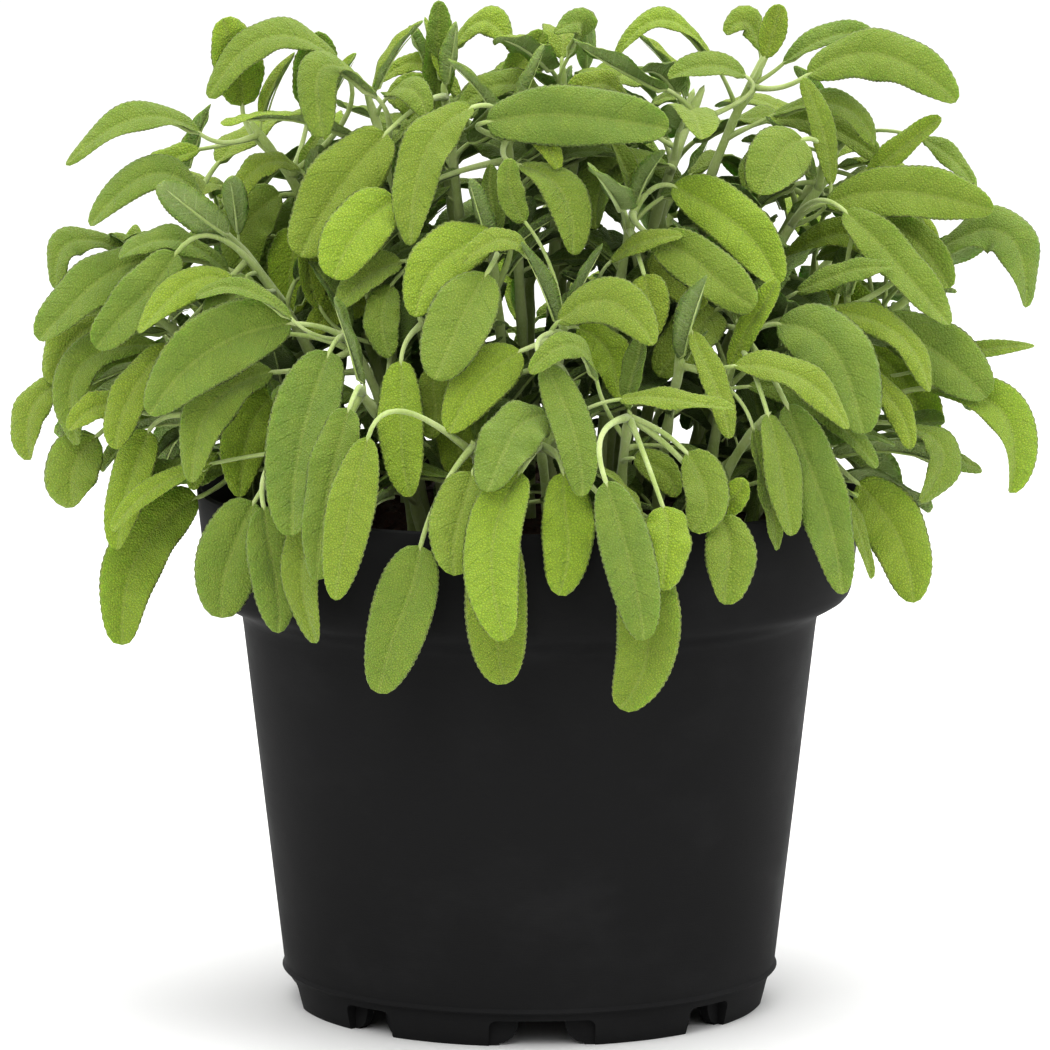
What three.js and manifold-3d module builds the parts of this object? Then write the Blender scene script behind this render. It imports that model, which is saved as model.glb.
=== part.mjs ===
// A common sage growing in a round nursery pot. Millimetres, +Z up.
// The origin is on the surface that the pot stands on, under the middle of the pot.
// The front of the plant looks along -Y.
import * as THREE from "three";
import { mergeVertices } from "three/addons/utils/BufferGeometryUtils.js";
import Module from "manifold-3d";

const wasm = await Module();
wasm.setup();

// ---------------------------------------------------------------- driving dimensions

// Edges shorter than this are left out of every solid.
const FINEST_EDGE = 0.03;

// Pot: a deep rim band over a tapered wall, a ledge, and a foot ring.
const POT_HEIGHT = 110;
const RIM_RADIUS = 70;
const RIM_BAND_BOTTOM = 87;
const RIM_BAND_RADIUS = 67.4;
const WALL_TOP = 83;
const WALL_TOP_RADIUS = 60.6;
const WALL_BOTTOM_RADIUS = 51.9;
const LEDGE_HEIGHT = 8;
const FOOT_TOP_RADIUS = 51.2;
const FOOT_RADIUS = 49.5;
const FOOT_WALL = 4;
const FLOOR_UNDERSIDE = 6.4;
const FLOOR_TOP = 8;
const POT_WALL = 1.4;
const POT_SIDES = 32;

// Notches in the foot ring, wide and narrow by turns, and drain holes in the floor.
const NOTCH_PAIRS = 4;
const NOTCH_TURN = 3;
const NOTCH_HEIGHT = 5.6;
const WIDE_NOTCH = 22;
const NARROW_NOTCH = 12;
const NOTCH_CORNER = 1.6;
const LINING_SHARE = 0.8;
const DRAIN_HOLES = 4;
const DRAIN_CIRCLE = 30;
const DRAIN_RADIUS = 4.5;

// Soil
const SOIL_TOP = 102.5;
const SOIL_MOUND = 2;
const SOIL_LUMP = 0.7;
const SOIL_RING = 45;
const SOIL_SIDES = 24;

// Air between pieces that touch: under flat faces, and at the corners of faceted round ones.
const SEAT_GAP = 0.3;
const CORNER_GAP = 0.4;

// Stems
const ROOT_DEPTH = 12;
const ROOT_RADIUS = 2.4;
const TIP_RADIUS = 1.7;
const STEM_SIDES = 4;
const STEM_STEPS = 3;
const NODE_SPACING = 13;
const MOST_LEAVES = 7;
const TOP_PAIR = 6;
const PAIR_STAGGER = 0.9;

// Leaves
const STALK_HALF_WIDTH = 0.8;
const STALK_ROOT_HALF_WIDTH = 0.6;
const BLADE_THICKNESS = 1.4;
const BLADE_FOLD = 0.24;
// Where a blade's cross-sections stand, as shares of its length.
const GROWN_STATIONS = [0.18, 0.55, 0.88];
const YOUNG_STATIONS = [0.35, 0.78];
// A leaf at a stem's tip, in the first pair below it, and in the fourth pair and lower: lengths, and
// the angles above level at which its blade leaves and ends, in degrees. Then how much these vary.
const TIP_LEAF = { length: 18, lift: 68, droop: 50, stalk: 3 };
const YOUNG_LEAF = { length: 31, lift: 42, droop: -8, stalk: 8 };
const OLD_LEAF = { length: 42, lift: 8, droop: -58, stalk: 14 };
const TIP_VARIES = { heading: 23, length: 3, lift: 10, droop: 18, roll: 15 };
const LEAF_VARIES = { heading: 10, length: 4, lift: 7, droop: 12, roll: 12, stalk: 2 };
const LEAF_WIDTH_SHARE = 0.33;
const TIP_WIDTH_SHARE = 0.3;

// The crown: how far leaves that are placed by the rule may reach, the share of it that is too shaded
// inside to keep leaves, and the air between pieces.
const CROWN_CENTRE = 132;
const CROWN_RADIUS_X = 106;
const CROWN_RADIUS_Y = 88;
const CROWN_RADIUS_UP = 78;
const CROWN_RADIUS_DOWN = 66;
const SHADE = 0.66;
const CLEARANCE = 2.9;
const OWN_CLEARANCE = 1.5;
const POT_AIR = 1.2;
const SOIL_AIR = 1.5;
const SAMPLE_STEP = 2.2;

// The front view is from far away and a little above. A place "seen from the front" is given on
// the upright plane through the pot's axis, and `seenAt` moves it along that sight line.
const VIEW_DISTANCE = 1600;
const VIEW_SLOPE = 0.153;

// Each leafy stem: its root on the soil [x, y], then its tip seen from the front [x, z] and its depth y.
const STEMS = [
  // front and sides
  { root: [-25, 2], tip: [-58, 186], depth: 0 },
  { root: [-34, -10], tip: [-63, 162], depth: -14 },
  { root: [-24, -24], tip: [-39, 141], depth: -34 },
  { root: [-42, -2], tip: [-80, 146], depth: -6 },
  { root: [-40, -20], tip: [-70, 124], depth: -24 },
  { root: [-34, -32], tip: [-52, 118], depth: -42 },
  { root: [-22, -36], tip: [-36, 129], depth: -47 },
  { root: [-10, -30], tip: [-23, 144], depth: -42 },
  { root: [-8, -48], tip: [-12, 118], depth: -58 },
  { root: [4, -44], tip: [2, 118], depth: -58 },
  { root: [4, -30], tip: [7, 142], depth: -46 },
  { root: [18, -44], tip: [21, 124], depth: -57 },
  { root: [26, -33], tip: [32, 135], depth: -46 },
  { root: [36, -24], tip: [45, 142], depth: -34 },
  { root: [36, -38], tip: [50, 124], depth: -44 },
  { root: [46, -18], tip: [72, 124], depth: -22 },
  { root: [42, -6], tip: [68, 148], depth: -10 },
  { root: [32, 4], tip: [62, 174], depth: -4 },
  { root: [22, 8], tip: [50, 202], depth: 4 },
  { root: [15, -4], tip: [36, 193], depth: -4 },
  { root: [14, -18], tip: [22, 168], depth: -24 },
  { root: [0, -8], tip: [-5, 184], depth: -18 },
  { root: [-4, -20], tip: [-8, 158], depth: -34 },
  { root: [-11, 5], tip: [-18, 194], depth: 0 },
  { root: [4, 8], tip: [7, 198], depth: 6 },
  { root: [-18, -7], tip: [-34, 192], depth: -8 },
  { root: [-22, -15], tip: [-37, 156], depth: -28 },
  // back
  { root: [-34, 12], tip: [-74, 176], depth: 16 },
  { root: [-26, 20], tip: [-46, 188], depth: 24 },
  { root: [-12, 18], tip: [-20, 196], depth: 26 },
  { root: [4, 20], tip: [12, 198], depth: 30 },
  { root: [20, 20], tip: [34, 194], depth: 26 },
  { root: [34, 14], tip: [66, 184], depth: 20 },
  { root: [-46, 14], tip: [-86, 150], depth: 24 },
  { root: [46, 6], tip: [88, 156], depth: 16 },
  { root: [-38, 30], tip: [-62, 158], depth: 46 },
  { root: [-18, 32], tip: [-30, 172], depth: 48 },
  { root: [0, 36], tip: [0, 176], depth: 52 },
  { root: [18, 34], tip: [30, 170], depth: 50 },
  { root: [38, 28], tip: [64, 160], depth: 42 },
  { root: [-26, 46], tip: [-38, 142], depth: 76 },
  { root: [-2, 50], tip: [-2, 146], depth: 80 },
  { root: [24, 46], tip: [36, 142], depth: 76 },
];

// The leaves that give the front its look, chosen by eye. Each blade is seen from the front at its
// base, middle and tip [x, z]; depth is y at base and tip, and turn is how far the blade is rolled
// away from facing the front, in degrees.
const SHOWN_LEAVES = [
  // lower right
  { base: [54, 126], mid: [61, 108], tip: [66, 87], depth: [-45, -54], width: 11, turn: -10 },
  { base: [69, 110], mid: [77, 100], tip: [81, 85], depth: [-28, -32], width: 13, turn: -15 },
  { base: [79, 122], mid: [87, 116], tip: [82, 106], depth: [-24, -30], width: 9, turn: -35 },
  { base: [84, 130], mid: [100, 124], tip: [101, 108], depth: [-15, -21], width: 11, turn: -35 },
  { base: [19, 127], mid: [30, 127], tip: [43, 125], depth: [-56, -63], width: 6, turn: -55 },
  { base: [33, 116], mid: [37, 108], tip: [34, 100], depth: [-62, -68], width: 10, turn: -15 },
  { base: [40, 103], mid: [42, 95], tip: [41, 85], depth: [-64, -67], width: 11, turn: -15 },
  { base: [42, 134], mid: [47, 144], tip: [52, 152], depth: [-38, -42], width: 6, turn: -30 },
  { base: [43, 134], mid: [56, 132], tip: [67, 121], depth: [-48, -55], width: 9, turn: -45 },
  // lower middle
  { base: [4, 124], mid: [-4, 119], tip: [-9, 108], depth: [-62, -77], width: 12, turn: 20 },
  { base: [3, 134], mid: [9, 121], tip: [11, 107], depth: [-52, -66], width: 9, turn: -15 },
  { base: [7, 112], mid: [8, 100], tip: [6, 87], depth: [-66, -75], width: 11, turn: -8 },
  { base: [16, 110], mid: [21, 94], tip: [24, 78], depth: [-78, -87], width: 11, turn: -10 },
  { base: [20, 99], mid: [25, 80], tip: [19, 64], depth: [-73, -82], width: 13, turn: -5 },
  { base: [-23, 97], mid: [-27, 83], tip: [-32, 67], depth: [-70, -75], width: 13, turn: 12 },
  { base: [-2, 112], mid: [-8, 96], tip: [-5, 78], depth: [-72, -90], width: 12, turn: 12 },
  { base: [-6, 101], mid: [-7, 83], tip: [-5, 69], depth: [-73, -79], width: 13, turn: 5 },
  { base: [-12, 112], mid: [-15, 102], tip: [-16, 91], depth: [-68, -79], width: 12, turn: 12 },
  { base: [-2, 137], mid: [-10, 131], tip: [-17, 120], depth: [-50, -60], width: 12, turn: 20 },
  { base: [-27, 135], mid: [-27, 121], tip: [-25, 107], depth: [-48, -61], width: 10, turn: 15 },
  { base: [14, 131], mid: [9, 138], tip: [0, 132], depth: [-52, -60], width: 7, turn: 50 },
  { base: [28, 105], mid: [29, 98], tip: [28, 88], depth: [-67, -73], width: 10, turn: -15 },
  { base: [34, 141], mid: [39, 130], tip: [42, 119], depth: [-47, -57], width: 6, turn: -25 },
  { base: [39, 146], mid: [34, 141], tip: [27, 132], depth: [-37, -47], width: 11, turn: 22 },
  { base: [6, 143], mid: [17, 147], tip: [26, 138], depth: [-46, -56], width: 11, turn: -25 },
  // lower left
  { base: [-42, 137], mid: [-48, 119], tip: [-50, 99], depth: [-44, -64], width: 14, turn: 12 },
  { base: [-70, 107], mid: [-82, 96], tip: [-86, 76], depth: [-18, -23], width: 13, turn: 15 },
  { base: [-58, 106], mid: [-63, 95], tip: [-65, 82], depth: [-42, -46], width: 14, turn: 12 },
  { base: [-46, 105], mid: [-48, 92], tip: [-45, 77], depth: [-57, -62], width: 9, turn: 30 },
  { base: [-38, 125], mid: [-42, 110], tip: [-45, 90], depth: [-56, -64], width: 10, turn: 15 },
  { base: [-34, 119], mid: [-38, 103], tip: [-41, 86], depth: [-63, -73], width: 10, turn: 10 },
  { base: [-56, 105], mid: [-54, 93], tip: [-53, 79], depth: [-50, -54], width: 11, turn: -12 },
  { base: [-54, 133], mid: [-66, 127], tip: [-71, 110], depth: [-36, -46], width: 11, turn: 25 },
  { base: [-78, 139], mid: [-94, 135], tip: [-95, 118], depth: [-12, -20], width: 10, turn: 35 },
  { base: [-98, 132], mid: [-105, 125], tip: [-105, 115], depth: [-6, -10], width: 9, turn: 35 },
  { base: [-91, 120], mid: [-96, 113], tip: [-96, 105], depth: [-14, -18], width: 13, turn: 25 },
  { base: [-80, 121], mid: [-84, 111], tip: [-87, 96], depth: [-24, -29], width: 10, turn: 25 },
  { base: [-76, 139], mid: [-84, 128], tip: [-87, 117], depth: [-26, -34], width: 9, turn: 25 },
  { base: [-67, 114], mid: [-79, 109], tip: [-88, 100], depth: [-34, -38], width: 6, turn: 50 },
  { base: [-89, 145], mid: [-97, 139], tip: [-100, 131], depth: [-4, -8], width: 10, turn: 35 },
  // upper left
  { base: [-69, 184], mid: [-82, 187], tip: [-97, 177], depth: [-2, -8], width: 9, turn: 55 },
  { base: [-69, 181], mid: [-77, 178], tip: [-83, 172], depth: [6, 4], width: 8, turn: 55 },
  { base: [-68, 169], mid: [-79, 175], tip: [-92, 164], depth: [-8, -14], width: 10, turn: 45 },
  { base: [-84, 159], mid: [-96, 161], tip: [-99, 151], depth: [-4, -8], width: 9, turn: 50 },
  { base: [-63, 154], mid: [-75, 161], tip: [-86, 157], depth: [-16, -24], width: 9, turn: 60 },
  { base: [-77, 157], mid: [-91, 152], tip: [-103, 140], depth: [-14, -18], width: 12, turn: 35 },
  { base: [-74, 158], mid: [-82, 148], tip: [-91, 138], depth: [-22, -28], width: 11, turn: 25 },
  { base: [-62, 152], mid: [-72, 151], tip: [-82, 141], depth: [-28, -36], width: 9, turn: 40 },
  { base: [-50, 143], mid: [-66, 138], tip: [-80, 124], depth: [-38, -46], width: 15, turn: 12 },
  { base: [-60, 190], mid: [-61, 199], tip: [-64, 208], depth: [2, -2], width: 11, turn: 20 },
  { base: [-40, 199], mid: [-54, 204], tip: [-67, 191], depth: [0, -6], width: 10, turn: 50 },
  { base: [-32, 191], mid: [-43, 197], tip: [-43, 182], depth: [-6, -14], width: 11, turn: 40 },
  { base: [-30, 183], mid: [-40, 171], tip: [-48, 157], depth: [-20, -30], width: 15, turn: 18 },
  { base: [-28, 169], mid: [-36, 162], tip: [-41, 152], depth: [-28, -38], width: 13, turn: 18 },
  { base: [-44, 147], mid: [-46, 157], tip: [-43, 168], depth: [-26, -28], width: 6, turn: 25 },
  { base: [-27, 156], mid: [-34, 153], tip: [-40, 146], depth: [-32, -38], width: 8, turn: 35 },
  // upper middle
  { base: [-20, 189], mid: [-19, 200], tip: [-19, 212], depth: [-2, -5], width: 7, turn: 12 },
  { base: [-16, 202], mid: [-9, 208], tip: [-3, 201], depth: [4, 0], width: 8, turn: -45 },
  { base: [8, 200], mid: [11, 207], tip: [5, 205], depth: [6, 3], width: 7, turn: 40 },
  { base: [38, 200], mid: [27, 208], tip: [17, 198], depth: [4, 0], width: 7, turn: 55 },
  { base: [4, 190], mid: [-5, 194], tip: [-15, 188], depth: [-4, -9], width: 8, turn: 55 },
  { base: [-12, 188], mid: [-22, 178], tip: [-25, 159], depth: [-22, -34], width: 11, turn: 25 },
  { base: [-9, 185], mid: [10, 186], tip: [29, 183], depth: [-18, -28], width: 13, turn: -20 },
  { base: [-7, 161], mid: [-18, 156], tip: [-24, 144], depth: [-36, -48], width: 13, turn: 25 },
  { base: [-9, 153], mid: [-15, 142], tip: [-20, 131], depth: [-46, -58], width: 14, turn: 18 },
  { base: [29, 177], mid: [17, 176], tip: [14, 163], depth: [-8, -20], width: 12, turn: 45 },
  { base: [-2, 176], mid: [7, 170], tip: [9, 157], depth: [-28, -39], width: 10, turn: -35 },
  { base: [17, 156], mid: [24, 160], tip: [32, 161], depth: [-32, -38], width: 6, turn: -55 },
  { base: [26, 161], mid: [37, 154], tip: [47, 146], depth: [-32, -44], width: 11, turn: -20 },
  { base: [30, 172], mid: [43, 164], tip: [52, 151], depth: [-22, -35], width: 12, turn: -18 },
  { base: [24, 153], mid: [25, 147], tip: [25, 139], depth: [-38, -44], width: 9, turn: 12 },
  // upper right
  { base: [45, 196], mid: [37, 198], tip: [29, 195], depth: [0, -6], width: 8, turn: 50 },
  { base: [53, 199], mid: [65, 205], tip: [76, 200], depth: [4, 0], width: 7, turn: -50 },
  { base: [58, 196], mid: [74, 200], tip: [89, 190], depth: [-4, -10], width: 12, turn: -30 },
  { base: [63, 173], mid: [61, 185], tip: [57, 195], depth: [-8, -12], width: 6, turn: 30 },
  { base: [51, 188], mid: [64, 190], tip: [72, 181], depth: [-6, -14], width: 8, turn: -55 },
  { base: [70, 174], mid: [78, 181], tip: [86, 187], depth: [-4, -8], width: 6, turn: -40 },
  { base: [57, 182], mid: [52, 178], tip: [48, 170], depth: [-14, -24], width: 13, turn: 12 },
  { base: [62, 169], mid: [80, 171], tip: [97, 167], depth: [-8, -16], width: 12, turn: -30 },
  { base: [66, 167], mid: [77, 156], tip: [88, 143], depth: [-16, -26], width: 10, turn: -25 },
  { base: [84, 158], mid: [99, 163], tip: [104, 147], depth: [-6, -12], width: 12, turn: -35 },
  { base: [61, 146], mid: [76, 142], tip: [84, 129], depth: [-22, -32], width: 8, turn: -40 },
  { base: [84, 135], mid: [94, 138], tip: [106, 139], depth: [-8, -12], width: 5, turn: -55 },
  { base: [52, 143], mid: [64, 137], tip: [70, 120], depth: [-34, -46], width: 15, turn: -15 },
  { base: [74, 144], mid: [86, 137], tip: [96, 128], depth: [-8, -14], width: 14, turn: -30 },
  // behind and between those
  { base: [50, 124], mid: [53, 112], tip: [55, 99], depth: [-45, -50], width: 9, turn: -35 },
  { base: [47, 121], mid: [50, 108], tip: [52, 96], depth: [-50, -53], width: 6, turn: -45 },
  { base: [65, 109], mid: [69, 101], tip: [72, 90], depth: [-36, -38], width: 5, turn: -55 },
  { base: [22, 115], mid: [27, 113], tip: [31, 107], depth: [-56, -61], width: 7, turn: -20 },
  { base: [40, 104], mid: [43, 107], tip: [45, 111], depth: [-59, -60], width: 6, turn: -10 },
  { base: [70, 139], mid: [79, 131], tip: [84, 119], depth: [-8, -13], width: 11, turn: -20 },
  { base: [-13, 125], mid: [-15, 118], tip: [-12, 109], depth: [-46, -50], width: 9, turn: 10 },
  { base: [-20, 134], mid: [-20, 127], tip: [-21, 119], depth: [-44, -50], width: 8, turn: 10 },
  { base: [10, 142], mid: [17, 136], tip: [19, 127], depth: [-42, -48], width: 9, turn: -20 },
  { base: [-52, 129], mid: [-59, 121], tip: [-61, 107], depth: [-31, -37], width: 11, turn: 15 },
  { base: [-85, 126], mid: [-91, 126], tip: [-97, 121], depth: [-20, -24], width: 7, turn: 35 },
  { base: [-50, 144], mid: [-60, 150], tip: [-70, 148], depth: [-40, -44], width: 5, turn: 55 },
  { base: [-49, 164], mid: [-50, 156], tip: [-49, 146], depth: [-10, -15], width: 10, turn: 12 },
  { base: [-52, 171], mid: [-59, 165], tip: [-60, 153], depth: [-2, -8], width: 12, turn: 20 },
  { base: [-48, 176], mid: [-56, 177], tip: [-63, 167], depth: [-6, -12], width: 7, turn: 45 },
  { base: [-33, 147], mid: [-40, 147], tip: [-46, 141], depth: [-16, -20], width: 8, turn: 30 },
  { base: [-46, 190], mid: [-45, 198], tip: [-44, 206], depth: [10, 8], width: 10, turn: 20 },
  { base: [-29, 151], mid: [-31, 144], tip: [-29, 136], depth: [-38, -46], width: 8, turn: 10 },
  { base: [-5, 194], mid: [-1, 200], tip: [3, 206], depth: [0, -2], width: 7, turn: -20 },
  { base: [22, 188], mid: [15, 194], tip: [8, 190], depth: [-8, -12], width: 7, turn: 50 },
  { base: [-14, 192], mid: [-22, 200], tip: [-31, 196], depth: [14, 12], width: 6, turn: 50 },
  { base: [-18, 186], mid: [-24, 192], tip: [-30, 192], depth: [4, 6], width: 10, turn: 20 },
  { base: [-1, 164], mid: [-4, 170], tip: [-4, 177], depth: [-32, -34], width: 6, turn: 20 },
  { base: [-2, 184], mid: [3, 181], tip: [6, 175], depth: [-28, -32], width: 5, turn: -25 },
  { base: [1, 156], mid: [-6, 160], tip: [-14, 155], depth: [-38, -44], width: 6, turn: 45 },
  { base: [26, 158], mid: [31, 153], tip: [36, 146], depth: [-26, -34], width: 10, turn: -20 },
  { base: [56, 150], mid: [66, 154], tip: [76, 155], depth: [-20, -26], width: 6, turn: -40 },
  { base: [54, 158], mid: [65, 163], tip: [75, 157], depth: [-8, -12], width: 8, turn: -45 },
  { base: [50, 187], mid: [62, 186], tip: [74, 178], depth: [-1, -5], width: 8, turn: -45 },
  { base: [74, 165], mid: [82, 160], tip: [88, 151], depth: [-3, -8], width: 8, turn: -20 },
  { base: [58, 153], mid: [67, 148], tip: [75, 140], depth: [-2, -8], width: 11, turn: -20 },
  { base: [82, 183], mid: [88, 179], tip: [93, 172], depth: [1, -3], width: 6, turn: -45 },
  { base: [49, 200], mid: [51, 206], tip: [52, 211], depth: [4, 2], width: 6, turn: -20 },
  { base: [48, 202], mid: [45, 208], tip: [41, 205], depth: [8, 6], width: 7, turn: 35 },
  { base: [71, 133], mid: [77, 126], tip: [80, 117], depth: [-28, -36], width: 6, turn: -25 },
  { base: [46, 130], mid: [61, 126], tip: [73, 113], depth: [-44, -50], width: 7, turn: -35 },
];

// ---------------------------------------------------------------- helpers

const UP = new THREE.Vector3(0, 0, 1);
const TO_VIEWER = new THREE.Vector3(0, -1, 0);
const point = (x, y, z) => new THREE.Vector3(x, y, z);
const radians = THREE.MathUtils.degToRad;

// The real place of what is seen from the front at [x, z] and lies at depth y.
function seenAt([x, z], y) {
  return point(x * (1 + y / VIEW_DISTANCE), y, z - VIEW_SLOPE * y);
}

// Seeded draws between -1 and 1.
function drawsFor(...keys) {
  let state = keys.reduce((sum, key, i) => sum + (key + 1) * 7919 * (1 + 31 * i), 104729);
  const draw = () => {
    state = (state * 16807) % 2147483647;
    return (2 * state) / 2147483647 - 1;
  };
  draw();
  draw();
  return draw;
}

// A curve that leaves `start` towards `bend` and reaches `end` coming from it.
function arc(start, bend, end) {
  const curve = new THREE.QuadraticBezierCurve3(start, bend, end);
  const opening = bend.clone().sub(start);
  const closing = end.clone().sub(bend);
  return {
    at: (t) => curve.getPoint(t),
    heading: (t) => opening.clone().lerp(closing, t).normalize(),
    length: (opening.length() + closing.length() + start.distanceTo(end)) / 2,
  };
}

// `direction` made square to the unit vector `heading`.
function squareTo(direction, heading) {
  return direction.clone().addScaledVector(heading, -direction.dot(heading)).normalize();
}

function weld(geometry) {
  geometry.deleteAttribute("normal");
  geometry.deleteAttribute("uv");
  return mergeVertices(geometry, 1e-4);
}

function solidOf(geometry) {
  const welded = weld(geometry);
  const vertProperties = new Float32Array(welded.attributes.position.array);
  const triVerts = new Uint32Array(welded.index.array);
  return new wasm.Manifold(new wasm.Mesh({ numProp: 3, vertProperties, triVerts }));
}

function geometryOf(solid) {
  const mesh = solid.getMesh();
  const geometry = new THREE.BufferGeometry();
  geometry.setAttribute("position", new THREE.BufferAttribute(mesh.vertProperties, 3));
  geometry.setIndex(new THREE.BufferAttribute(mesh.triVerts, 1));
  geometry.computeVertexNormals();
  return geometry;
}

// A closed solid through rings of points that turn anticlockwise about the way they travel. It ends
// in the last ring, or in the point `tip`. Facing quads are split alike, so a thin blade stays whole.
function loft(rings, tip) {
  const sides = rings[0].length;
  const points = rings.flat();
  const triangles = [];
  for (let i = 0; i + 1 < rings.length; i++) {
    for (let j = 0; j < sides; j++) {
      const [a, b] = [i * sides + j, i * sides + ((j + 1) % sides)];
      const [c, d] = [b + sides, a + sides];
      triangles.push(...(j % 2 ? [a, b, d, b, c, d] : [a, b, c, a, c, d]));
    }
  }
  const last = (rings.length - 1) * sides;
  for (let j = 1; j + 1 < sides; j++) triangles.push(0, j + 1, j);
  if (tip) {
    for (let j = 0; j < sides; j++) triangles.push(last + j, last + ((j + 1) % sides), points.length);
    points.push(tip);
  } else {
    for (let j = 1; j + 1 < sides; j++) triangles.push(last, last + j, last + j + 1);
  }
  const geometry = new THREE.BufferGeometry().setFromPoints(points);
  geometry.setIndex(triangles);
  return geometry;
}

// ---------------------------------------------------------------- pot

// The wall's outside from the ground up, over the lip, and down the inside to the floor.
function potProfile() {
  const innerBand = RIM_BAND_RADIUS - POT_WALL;
  return [
    [0, FLOOR_UNDERSIDE],
    [FOOT_RADIUS - FOOT_WALL, FLOOR_UNDERSIDE],
    [FOOT_RADIUS - FOOT_WALL, 0],
    [FOOT_RADIUS, 0],
    [FOOT_TOP_RADIUS, LEDGE_HEIGHT - 0.8],
    [WALL_BOTTOM_RADIUS + 0.5, LEDGE_HEIGHT - 0.4],
    [WALL_BOTTOM_RADIUS, LEDGE_HEIGHT + 0.4],
    [WALL_TOP_RADIUS, WALL_TOP],
    [RIM_BAND_RADIUS - 1, RIM_BAND_BOTTOM],
    [RIM_BAND_RADIUS + 0.4, RIM_BAND_BOTTOM + 2],
    [RIM_RADIUS, POT_HEIGHT - 0.4],
    [RIM_RADIUS - 0.3, POT_HEIGHT],
    [RIM_RADIUS - POT_WALL, POT_HEIGHT],
    [innerBand, RIM_BAND_BOTTOM + 3],
    [WALL_TOP_RADIUS - POT_WALL, WALL_TOP + 1],
    [WALL_BOTTOM_RADIUS - POT_WALL, FLOOR_TOP],
    [0, FLOOR_TOP],
  ];
}

function turned(profile, sides) {
  const outline = profile.map(([radius, height]) => new THREE.Vector2(radius, height));
  return new THREE.LatheGeometry(outline, sides).rotateX(Math.PI / 2);
}

// An opening with round top corners, cut up from below the ground.
function notchOutline(width) {
  const half = width / 2;
  const shape = new THREE.Shape();
  shape.moveTo(-half, -1);
  shape.lineTo(half, -1);
  shape.lineTo(half, NOTCH_HEIGHT - NOTCH_CORNER);
  shape.absarc(half - NOTCH_CORNER, NOTCH_HEIGHT - NOTCH_CORNER, NOTCH_CORNER, 0, Math.PI / 2);
  shape.absarc(NOTCH_CORNER - half, NOTCH_HEIGHT - NOTCH_CORNER, NOTCH_CORNER, Math.PI / 2, Math.PI);
  return shape;
}

// The narrower opening in the foot ring's lining, whose sides flare to the ground in quarter rounds.
function liningOutline(width) {
  const half = width / 2;
  const flare = half * 0.45;
  const shape = new THREE.Shape();
  shape.moveTo(-half, -1);
  shape.lineTo(half, -1);
  shape.lineTo(half, 0.4);
  shape.quadraticCurveTo(half - flare, 0.8, half - flare, NOTCH_HEIGHT - 0.4);
  shape.lineTo(flare - half, NOTCH_HEIGHT - 0.4);
  shape.quadraticCurveTo(flare - half, 0.8, -half, 0.4);
  return shape;
}

// `outline` cut radially through the foot ring, between two radii, at `angle` to the right of front.
function radialCutter(outline, angle, from, to) {
  const across = point(Math.cos(angle), Math.sin(angle), 0);
  const outward = point(Math.sin(angle), -Math.cos(angle), 0);
  const plain = { depth: to - from, bevelEnabled: false, curveSegments: 2 };
  const geometry = new THREE.ExtrudeGeometry(outline, plain);
  const placed = new THREE.Matrix4().makeBasis(across, UP, outward);
  placed.setPosition(outward.multiplyScalar(from));
  return solidOf(geometry.applyMatrix4(placed));
}

function drainHole(index) {
  const angle = (2 * Math.PI * index) / DRAIN_HOLES;
  const hole = new THREE.CylinderGeometry(DRAIN_RADIUS, DRAIN_RADIUS, 2 * FLOOR_TOP, 6).rotateX(Math.PI / 2);
  hole.translate(DRAIN_CIRCLE * Math.cos(angle), DRAIN_CIRCLE * Math.sin(angle), FLOOR_UNDERSIDE);
  return solidOf(hole);
}

function makePot() {
  const liningFace = FOOT_RADIUS - FOOT_WALL / 2;
  let pot = solidOf(turned(potProfile(), POT_SIDES));
  for (let i = 0; i < 2 * NOTCH_PAIRS; i++) {
    const angle = radians(NOTCH_TURN) + (Math.PI * i) / NOTCH_PAIRS;
    const width = i % 2 ? NARROW_NOTCH : WIDE_NOTCH;
    const lining = liningOutline(width * LINING_SHARE);
    pot = pot.subtract(radialCutter(notchOutline(width), angle, liningFace, FOOT_RADIUS + FOOT_WALL));
    pot = pot.subtract(radialCutter(lining, angle, liningFace - FOOT_WALL, liningFace + 1));
  }
  for (let i = 0; i < DRAIN_HOLES; i++) pot = pot.subtract(drainHole(i));
  return pot;
}

// ---------------------------------------------------------------- soil

function soilHeight(x, y) {
  const mound = SOIL_MOUND * (1 - (x * x + y * y) / (RIM_RADIUS * RIM_RADIUS));
  return SOIL_TOP + mound + SOIL_LUMP * Math.sin(x * 0.21 + 1) * Math.cos(y * 0.19);
}

function soilProfile() {
  const inside = POT_WALL + CORNER_GAP;
  return [
    [0, FLOOR_TOP + SEAT_GAP],
    [WALL_BOTTOM_RADIUS - inside, FLOOR_TOP + SEAT_GAP],
    [WALL_TOP_RADIUS - inside, WALL_TOP + 1.6],
    [RIM_BAND_RADIUS - inside, RIM_BAND_BOTTOM + 3.6],
    [RIM_BAND_RADIUS + 1.4 - inside, SOIL_TOP],
    [SOIL_RING, SOIL_TOP],
    [0, SOIL_TOP],
  ];
}

function rootHole(stem) {
  const bottom = soilHeight(...stem.root) - ROOT_DEPTH - SEAT_GAP;
  const ringAt = (z) => stemRing(point(...stem.root, z), UP, ROOT_RADIUS + CORNER_GAP);
  return solidOf(loft([ringAt(bottom), ringAt(POT_HEIGHT)]));
}

function makeSoil() {
  const soil = turned(soilProfile(), SOIL_SIDES);
  const place = soil.attributes.position;
  for (let i = 0; i < place.count; i++) {
    if (place.getZ(i) > SOIL_TOP - 0.1) place.setZ(i, soilHeight(place.getX(i), place.getY(i)));
  }
  return STEMS.reduce((left, stem) => left.subtract(rootHole(stem)), solidOf(soil));
}

// ---------------------------------------------------------------- stems

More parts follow.
